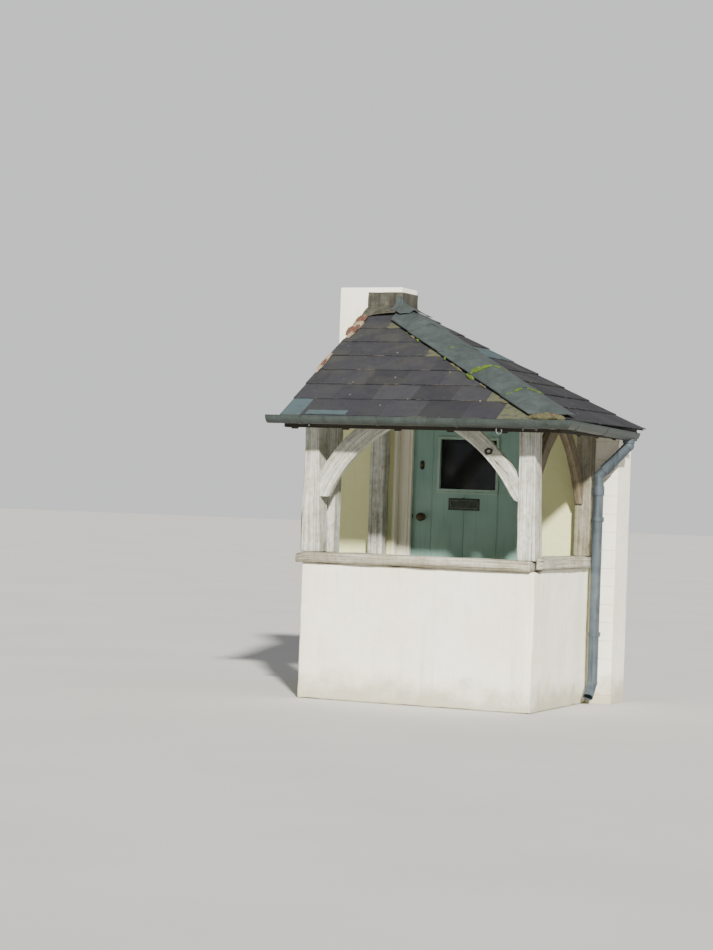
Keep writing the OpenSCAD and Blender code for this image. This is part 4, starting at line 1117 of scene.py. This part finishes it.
# moss in the laps, mortar and tile: what each row of numbers holds is in the key's note
trimLook = {
    "mossTufts": [(2, -0.188, -0.060, 0.052, 0.026), (2, -0.10, 0.002, 0.036, 0.022),  # lap, a from and to,
                  (2, 0.000, 0.155, 0.026, 0.017), (1, -0.160, -0.02, 0.026, 0.017),  # width, height
                  (1, 0.018, 0.170, 0.024, 0.015), (3, -0.14, -0.05, 0.015, 0.010)],
    "edgeTufts": [(0.98, 0.12, 0.050), (1.86, 0.050, 0.026),  # up the hip, length, width
                  (1.42, 0.020, 0.014), (2.05, 0.03, 0.015)],
    "edgeTuftHigh": 0.018,
    "edgeCrumbs": [(1.16, 0.20), (0.79, 0.10), (1.94, 0.06)],  # up the hip, length
    "crumbWide": 0.024, "crumbHigh": 0.014,
    # place on the front slope, then length, width and height
    "footBed": ((0.912, -0.016, -0.006), (0.275, 0.080, 0.044)),
    "slateCrumb": ((0.655, 0.200, 0), (0.055, 0.030, 0.010)),
    "tileCrumb": ((1.090, -0.020, 0.022), (0.036, 0.040, 0.020)),
}


def onFront(a0, s0, n0):
    # along +X on the front slope
    def place(x, y, h):
        return frontPlace(a0 + x, s0 + y, n0 + h)
    return place


def upVerge(off, s0, n0):
    # up the front slope, off from the verge
    def place(x, y, h):
        return frontPlace(roof["vergeX"] + off + y, s0 + x, n0 + h)
    return place


def upHipEdge(out, b0, n0, rise):
    # up the hip, out from the front edge of its cover
    def place(x, y, h):
        return coverPoint(-hip["wing"] - out + y, b0 + x, n0 + rise * h)
    return place


def overLap(a0, foot):
    # across the fold, at the foot of a length of the cover
    def place(x, y, h):
        return coverPoint(a0 + x, foot - 0.005 + y, hip["base"] + hip["thick"] + h - 0.002)
    return place


def hipMoss(look):
    parts = [lump(a1 - a0, width, height, 101 + k, overLap(a0, firstLap + lap * hip["lap"]), 0.005)
             for k, (lap, a0, a1, width, height) in enumerate(look["mossTufts"])]
    parts += [flipped(lump(length, width, look["edgeTuftHigh"], 121 + k,
                           upHipEdge(0.004, b, 0.003, 1.3), 0.005))
              for k, (b, length, width) in enumerate(look["edgeTufts"])]
    addPiece("hipMoss", joined(parts), "moss")


def hipMortar(look):
    size = (look["crumbWide"], look["crumbHigh"])
    parts = [flipped(lump(length, *size, 141 + k, upHipEdge(0.003, b, 0.002, 1.0), 0.006))
             for k, (b, length) in enumerate(look["edgeCrumbs"])]
    place, bed = look["footBed"]
    parts.append(lump(*bed, 151, onFront(*place), 0.007, 0.10))
    place, crumb = look["slateCrumb"]
    parts.append(lump(*crumb, 152, onFront(*place), 0.006))
    addPiece("hipMortar", joined(parts), "mortar")
    place, tile = look["tileCrumb"]
    addPiece("tileCrumb", lump(*tile, 153, onFront(*place), 0.006), "redTile")


# the verge's fillet near the wall; each row is (distance from the verge, start up the slope, length, width)
vergeFillet = {
    "vergeLime": {"material": "limeMortar", "low": 0.002, "high": 0.022, "seed": 181,
                  "rows": [(0.036, 1.19, 0.385, 0.086), (0.016, 0.61, 0.320, 0.036)]},
    "vergeTiles": {"material": "redTile", "low": 0.012, "high": 0.017, "seed": 191,
                   "rows": [(0.018, 1.205, 0.165, 0.046), (0.058, 1.245, 0.150, 0.036),
                            (0.020, 1.365, 0.195, 0.044), (0.060, 1.400, 0.160, 0.036),
                            (0.022, 0.69, 0.120, 0.028)]},
}


def bedVerge(name, f):
    # each row is a low lump along the verge, from its start up the slope
    parts = [flipped(lump(length, width, f["high"], f["seed"] + k,
                          upVerge(off, start, f["low"]), 0.007, 0.12))
             for k, (off, start, length, width) in enumerate(f["rows"])]
    addPiece(name, joined(parts), f["material"])


hipMoss(trimLook)
hipMortar(trimLook)
for pieceName, fillet in vergeFillet.items():
    bedVerge(pieceName, fillet)
print("hip covered")

# the house wall's flashing: apron down the slates, upstand up the wall; the fan is dressed over the corner
flashings = {
    "wallFlashing": {"material": "oldFlashing", "alongFront": 0.28, "alongSide": 0.30, "apron": 0.13,
                     "cornerApron": 0.13, "upstand": 0.122, "thick": 0.003, "lift": 0.007, "overHip": 0.031,
                     "pleats": 0, "deep": 0.0, "out": 0.002, "replaces": "wall_flashing", "seed": 161},
    "leadFan": {"material": "weatheredLead", "alongFront": 0.045, "alongSide": 0.05, "apron": 0.10,
                "cornerApron": 0.20, "upstand": 0.085, "thick": 0.003, "lift": 0.018, "overHip": 0.041,
                "pleats": 9, "deep": 0.007, "out": 0.0075, "replaces": None, "seed": 171},
}


def dressedSheet(name, f):
    # u runs along the wall's front, turns about its corner, and runs along its side; heading points away
    # from the wall. Along v the apron comes in over the roof, from heading * apron to the wall, and goes
    # up it. Pleats lift the apron by deep * |sin(pleats * angle)|, most at its edge
    turns, straight, quarter = 60, 12, math.pi / 2
    angle = np.concatenate([np.zeros(straight), np.linspace(0, quarter, turns), np.full(straight, quarter)])
    back = np.concatenate([np.linspace(f["alongFront"], 0.012, straight), np.zeros(turns + straight)])
    on = np.concatenate([np.zeros(straight + turns), np.linspace(0.012, f["alongSide"], straight)])
    hx, hy = np.sin(angle), -np.cos(angle)
    fx, fy = roof["cornerX"] - back, on
    away = np.concatenate([np.linspace(1, 0.1, 13), [0.045, 0.02, 0.008], np.zeros(9)])
    climb = np.concatenate([np.zeros(13), [0.002, 0.006, 0.014], np.linspace(0.03, 1, 9) * f["upstand"]])
    grid, quads = skin(np.arange(len(angle)), np.arange(len(away)), [0.0, 1.0])
    i, j, w = grid[:, 0].astype(int), grid[:, 1].astype(int), grid[:, 2]
    corner = np.sin(2 * angle[i])
    long = f["apron"] + (f["cornerApron"] - f["apron"]) * corner ** 0.6
    upright = climb[j] > 0.01
    d = away[j] * long + f["out"] + w * f["thick"] * upright
    x, y = fx[i] + hx[i] * d, fy[i] + hy[i] * d
    slopeZ = np.minimum((y - roof["eaveY"]) * math.tan(frontPitch), (roof["eaveX"] - x) * math.tan(sidePitch))
    nearHip = np.clip(1 - (back[i] + on[i]) / 0.2, 0, 1)
    lift = f["lift"] + (f["overHip"] - f["lift"]) * nearHip ** 0.5 * np.where(upright, 0.5, 1)
    pleat = f["deep"] * np.abs(np.sin(f["pleats"] * angle[i])) * away[j] * np.clip(corner * 3, 0, 1)
    flat = np.stack([back[i] - on[i] + angle[i] * 0.1, away[j] * long + climb[j], w * 0], -1)
    wave = 0.0025 * (ripple(flat, 0.11, f["seed"]) + 1)
    z = roof["eaveZ"] + slopeZ + lift + pleat + climb[j] + w * f["thick"] * ~upright
    z = np.where(climb[j] > 0.03, roof["eaveZ"] + roof["rise"] + climb[j] + 0.002 * ripple(flat, 0.2, 5), z)
    points = np.stack([x + hx[i] * wave, y + hy[i] * wave, z + np.where(upright, 0, wave)], -1)
    addPiece(name, (points, quads, {}), f["material"], f["replaces"], sharp=60)


for pieceName, sheet in flashings.items():
    dressedSheet(pieceName, sheet)
print("flashing dressed")

easing = {"weld": 0.00002, "flat": 0.5, "angle": 30, "segments": 2}  # metres; degrees
easedNodes = {
    # node, material, slot, body and the width of its eased arrises
    "doorLeaf": ("door_leaf", "sagePaint", "door_paint", "door", 0.0015),
    "glazingBead": ("glazing_bead", "beadPaint", "door_paint", "door", 0.0025),
    "doorFrame": ("door_frame", "creamPaint", "frame_paint", "porch", 0.003),
    "doorStep": ("threshold", "sawnStep", "sill_oak", "porch", 0.003),
    "frontFascia": ("front_fascia", "sawnSide", "roof_timber", "porch", 0.002),
    "sideFascia": ("side_fascia", "sawnFront", "roof_timber", "porch", 0.002),
    "vergeBoard": ("verge_board", "sawnFront", "roof_timber", "porch", 0.002),
    "wingWall": ("wing_wall", "limewash", "render", "porch", 0.006),
}


def softened(name, node, material, slot, body, width):
    # a merged copy of a CAD node with its arrises eased; it stands for the node
    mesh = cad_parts[node].data.copy()
    mesh.name = name
    work = bmesh.new()
    work.from_mesh(mesh)
    bmesh.ops.remove_doubles(work, verts=work.verts, dist=easing["weld"])
    flat = math.radians(easing["flat"])
    bmesh.ops.dissolve_limit(work, angle_limit=flat, verts=work.verts, edges=work.edges)
    work.to_mesh(mesh)
    work.free()
    mesh.materials.clear()
    mesh.materials.append(materials[material])
    mesh.shade_smooth()
    mesh.set_sharp_from_angle(angle=math.radians(easing["angle"]))
    piece = bpy.data.objects.new(name, mesh)
    scene.collection.objects.link(piece)
    ease = piece.modifiers.new("ease", "BEVEL")
    ease.width = width
    ease.segments = easing["segments"]
    ease.limit_method = "ANGLE"
    ease.angle_limit = math.radians(easing["angle"])
    ease.harden_normals = True
    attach(piece, body)
    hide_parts(node)


for pieceName, eased in easedNodes.items():
    softened(pieceName, *eased)

liningLook = {"wide": 0.024, "proud": 0.006, "deep": 0.058, "arris": 0.003, "step": (0.03, 0.03, 0.06),
              "wave": 0.001, "over": 0.020, "rise": 0.004, "gap": 0.0005}


def doorLining(look):
    # two boards and a head that cover the corners of the opening: soft boxes (from, to) in X and Z
    (x0, _, _), (x1, _, z1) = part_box("door_frame")
    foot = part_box("porch_floor")[1][2]
    left, right, wide, top = x0 - look["over"], x1 + look["over"], look["wide"], z1 + look["rise"]
    boards = [((left, foot), (left + wide, top)), ((right - wide, foot), (right, top)),
              ((left, top + look["gap"]), (right, z1 + look["over"]))]
    proud = look["proud"]
    parts = [softBox((a0, -proud, c0), (a1 - a0, proud + look["deep"], c1 - c0), look["arris"],
                     look["step"], look["wave"], 91 + k) for k, ((a0, c0), (a1, c1)) in enumerate(boards)]
    addPiece("doorLining", joined(parts), "creamPaint", sharp=50)


doorLining(liningLook)

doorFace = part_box("door_frame")[0][1] + 0.04
doorBack = doorFace + 0.044


def outward(x0, z0):
    # a turned shape's axis points out of the door's outer face
    def place(x, y, h):
        return np.stack([x0 + x, doorFace - h, z0 + y], -1)
    return place


def inward(x0, z0):
    # and here out of its inner face
    def place(x, y, h):
        return np.stack([x0 - x, doorBack + h, z0 + y], -1)
    return place


knobLook = {
    "at": (-0.489, 1.331),
    "profile": [(0.026, 0), (0.026, 0.003), (0.024, 0.006), (0.019, 0.0085), (0.0135, 0.0095),
                (0.0115, 0.013), (0.0105, 0.02), (0.0115, 0.025), (0.0155, 0.028), (0.023, 0.030),
                (0.0295, 0.035), (0.0325, 0.042), (0.0330, 0.050), (0.0315, 0.058), (0.0275, 0.0650),
                (0.0230, 0.0695),
                (0.0215, 0.0685), (0.0200, 0.0700), (0.0145, 0.0735), (0.0095, 0.0748), (0.0080, 0.0738),
                (0.0065, 0.0748), (0.002, 0.0757)],
}


def doorKnobs(look):
    # the same profile turned about an axis out of each face
    knobs = [turned(look["profile"], 48, side(*look["at"])) for side in (outward, inward)]
    addPiece("doorKnobs", joined(knobs), "brownBronze", "door_knob", "door", 40)


latchLook = {
    "at": (-0.504, 1.729), "radius": 0.017, "straight": 0.018,
    "rim": [(0, 0), (0, 0.003), (0.001, 0.005), (0.003, 0.006), (0.005, 0.0055)],  # inset, height
    "case": (0.092, 0.028, 0.062), "caseLeft": 0.066, "turnLeft": 0.02,
    "turn": [(0.012, 0.028), (0.012, 0.036), (0.009, 0.04), (0.009, 0.046), (0.004, 0.048)],
    "cylinder": [(0.0115, 0.004), (0.0115, 0.012), (0.0105, 0.0135), (0.0085, 0.0135), (0.008, 0.0125),
                 (0.004, 0.0125)],
    "slit": (0.0022, 0.002, 0.010),
}


def nightLatch(look):
    # an upright plate with round ends outside, its cylinder, and the latch's case inside. The plate is a
    # disc whose upper and lower halves stand straight apart
    x0, z0 = look["at"]
    front = outward(x0, z0)

    def plate(x, y, h):
        return front(x, y + np.sign(np.round(y, 6)) * look["straight"], h)

    rim = turned([(look["radius"] - inset, height) for inset, height in look["rim"]], 32, plate)
    caseAt = (x0 - look["caseLeft"], doorBack, z0 - look["case"][2] / 2)
    case = softBox(caseAt, look["case"], 0.004, (0.02, 0.02, 0.02))
    turn = turned(look["turn"], 24, inward(x0 - look["turnLeft"], z0))
    addPiece("nightLatch", joined([rim, case, turn]), "darkBronze", "night_latch", "door", 40)
    addPiece("latchCylinder", turned(look["cylinder"], 32, front), "wornBrass", None, "door", 40)
    wide, _, high = look["slit"]
    slitAt = (x0 - wide / 2, doorFace - look["cylinder"][2][1], z0 - high / 2)
    slit = softBox(slitAt, look["slit"], 0.0006, (0.003, 0.003, 0.003))
    addPiece("keySlit", slit, "darkBronze", None, "door")


letterLook = {
    "low": (-0.277, 1.391), "size": (0.254, 0.092), "thick": 0.005, "arris": 0.0022,
    "step": (0.012, 0.01, 0.012),
    "rim": 0.022, "rimWide": 0.005, "rimOver": 0.007, "rimThick": 0.004, "rimProud": 0.0028,
    "flapProud": 0.0035,  # at the flap's foot
    "screw": 0.010,  # how far in from the edges
    "screwHead": [(0.0042, 0.003), (0.0042, 0.0058), (0.003, 0.0068), (0.001, 0.0070)],
    "pull": [(0.0045, 0.003), (0.004, 0.010), (0.006, 0.014), (0.0085, 0.018), (0.009, 0.023), (0.006, 0.028),
             (0.002, 0.030)],
}


def letterPlate(look):
    # a plate and the flap in it, both soft boxes, the flap leaning out by proud * (1 - 0.4 z / height); a
    # moulded rim of four bars round the opening, a pull on the top edge, and four screws
    (x0, z0), (w, h), rim = look["low"], look["size"], look["rim"]
    low = np.array([x0, doorFace - look["thick"], z0])
    parts = []
    for inset, proud in ((0, 0), (rim, look["flapProud"])):
        high = h - 2 * inset
        size = (w - 2 * inset, look["thick"], high)
        points, quads, extra = softBox(low + (inset, 0, inset), size, look["arris"], look["step"], 0.0002, 7)
        points[:, 1] -= proud * (1 - (points[:, 2] - z0 - inset) / high * 0.4)
        parts.append((points, quads, extra))
    near, bar = rim - look["rimOver"], look["rimWide"]
    long, tall = w - 2 * near, h - 2 * near
    bars = [(near, near, long, bar), (near, h - near - bar, long, bar), (near, near, bar, tall),
            (w - near - bar, near, bar, tall)]
    rims = [softBox(low + (x, -look["rimProud"], z), (wide, look["rimThick"], high), 0.0018,
                    (0.012, 0.004, 0.012)) for x, z, wide, high in bars]
    # the rim's paler bronze is a painted highlight along its bars
    addPiece("letterRim", joined(rims), "paleBronze", None, "door", 40)
    parts.append(turned(look["pull"], 24, outward(x0 + w / 2, z0 + h - 0.004)))
    screw = look["screw"]
    for x, z in ((screw, screw), (w - screw, screw), (screw, h - screw), (w - screw, h - screw)):
        parts.append(turned(look["screwHead"], 16, outward(x0 + x, z0 + z)))
    addPiece("letterPlate", joined(parts), "greenBronze", "letter_plate", "door", 40)


keyLook = {"at": (-0.5755, 1.338), "tall": 2.6,
           "profile": [(0.0055, 0), (0.0055, 0.002), (0.0045, 0.003), (0.002, 0.0022)]}


def keyPlate(look):
    # a small plate over the keyhole, near the leaf's edge: a disc made taller
    front = outward(*look["at"])

    def place(x, y, h):
        return front(x, y * look["tall"], h)

    addPiece("keyPlate", turned(look["profile"], 24, place), "darkBronze", None, "door", 40)


doorKnobs(knobLook)
nightLatch(latchLook)
letterPlate(letterLook)
keyPlate(keyLook)
print("door fitted")

gutterLook = {
    "y": -1.505, "rim": 2.035, "radius": 0.056,
    "union": (0.885, 0.995), "unionThick": 0.003, "unionGap": 0.0006,
    "clips": (0.893, 0.989, -0.725), "clipLow": 0.003,
    "clipProfile": [(0.007, 0), (0.007, 0.004), (0.0045, 0.006), (0.0035, 0.012), (0.0015, 0.0135)],
    "hook": (0.700, 1.984), "hookBend": 0.020, "hookWire": 0.0042,
}


def underGutter(g, x0):
    # a turned shape's axis points down from the gutter's underside
    def place(x, y, h):
        return np.stack([x0 + x, g["y"] - y, g["rim"] - g["radius"] - g["clipLow"] - h], -1)
    return place


def gutterFittings(g):
    # a union strap bent round the gutter, a soft box whose X becomes the angle; clips under it and under
    # the brackets; and a bent hook, a wire along a short stem and an arc
    x0, x1 = g["union"]
    bent = math.pi * (g["radius"] + g["unionGap"])
    points, quads, extra = softBox(0, (bent, x1 - x0, g["unionThick"]), 0.0015, (0.006, 0.02, 0.004))
    angle = math.pi + points[:, 0] / bent * math.pi
    radius = g["radius"] + g["unionGap"] + points[:, 2]
    out, up = radius * np.cos(angle), radius * np.sin(angle)
    strap = np.stack([x0 + points[:, 1], g["y"] + out, g["rim"] + up], -1)
    addPiece("gutterUnion", (strap, quads, extra), "gutterPaint")
    parts = [turned(g["clipProfile"], 16, underGutter(g, x)) for x in g["clips"]]
    (hx, hz), hy, bend = g["hook"], g["y"], g["hookBend"]
    curl = [(hx, hy + 0.002, hz), (hx, hy - 0.006, hz - 0.012), (hx + 0.001, hy - 0.010, hz - 0.022)]
    curl += [(hx + 0.022 + bend * math.cos(t), hy - 0.012, hz - 0.028 + bend * math.sin(t))
             for t in np.linspace(math.pi, 2 * math.pi + 0.6, 14)]
    parts.append(tube(curl, g["hookWire"]))
    addPiece("gutterClips", joined(parts), "paleZinc", sharp=40)


gutterFittings(gutterLook)
print("gutter fitted")

nodeMaterials = {
    "hip_rafter": "sawnSide", "front_rafters": "sawnFront", "side_rafters": "sawnSide",
    "front_boarding": "sawnSide", "side_boarding": "sawnFront",
    "front_gutter": "gutterPaint", "side_gutter": "gutterPaint", "gutter_brackets": "gutterPaint",
    "downpipe": "pipePaint", "wall_over_door": "limewash", "wall_right": "limewash",
    "frame_hinges": "darkBronze", "door_hinges": "darkBronze", "door_glass": "dimGlass",
}
for nodeName, materialName in nodeMaterials.items():
    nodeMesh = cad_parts[nodeName].data
    nodeMesh.materials.clear()
    nodeMesh.materials.append(materials[materialName])
print("the rest of the frame finished")

lights = {
    "sun": 9.3, "softness": 3.0,  # strength, and the disc's width in degrees
    "heading": (-0.461, 0.767, -0.446), "sunColour": (1.0, 0.965, 0.9),
    "fill": 0.36, "fillColour": (0.95, 0.97, 1.0, 1),
    "backdrop": 0.84, "backdropColour": (0.98, 0.985, 1.0, 1),  # what the camera sees beyond the floor
}


def makeLights(l):
    sun = bpy.data.lights.new("key", "SUN")
    sun.energy = l["sun"]
    sun.angle = math.radians(l["softness"])
    sun.color = l["sunColour"]
    lamp = bpy.data.objects.new("key", sun)
    lamp.matrix_world = Vector(l["heading"]).to_track_quat("-Z", "Y").to_matrix().to_4x4()
    scene.collection.objects.link(lamp)
    world = bpy.data.worlds.new("studio")
    world.use_nodes = True
    tree = world.node_tree
    fill = tree.nodes["Background"]
    fill.inputs["Color"].default_value = l["fillColour"]
    fill.inputs["Strength"].default_value = l["fill"]
    seen = put(tree, "ShaderNodeBackground", {"Color": l["backdropColour"], "Strength": l["backdrop"]})
    direct = put(tree, "ShaderNodeLightPath").outputs["Is Camera Ray"]
    both = put(tree, "ShaderNodeMixShader", {0: direct, 1: fill.outputs[0], 2: seen.outputs[0]})
    tree.links.new(both.outputs[0], tree.nodes["World Output"].inputs["Surface"])
    scene.world = world


floorLook = {"dark": (0.58, 0.57, 0.55, 1), "pale": (0.62, 0.61, 0.59, 1), "reach": 90.0, "z": -0.001}


def makeFloor(look):
    made, tree, shader, place = newMaterial("paleFloor")
    colour = ramp(tree, noise(tree, place, 0.6, 3.0), (0.3, look["dark"]), (0.7, look["pale"]))
    finish(tree, shader, colour, 0.95)
    mesh = bpy.data.meshes.new("floor")
    r, z = look["reach"], look["z"]
    mesh.from_pydata([(-r, -r, z), (r, -r, z), (r, r, z), (-r, r, z)], [], [(0, 1, 2, 3)])
    mesh.materials.append(made)
    floor = bpy.data.objects.new("floor", mesh)
    scene.collection.objects.link(floor)


makeLights(lights)
makeFloor(floorLook)
print("stage set")
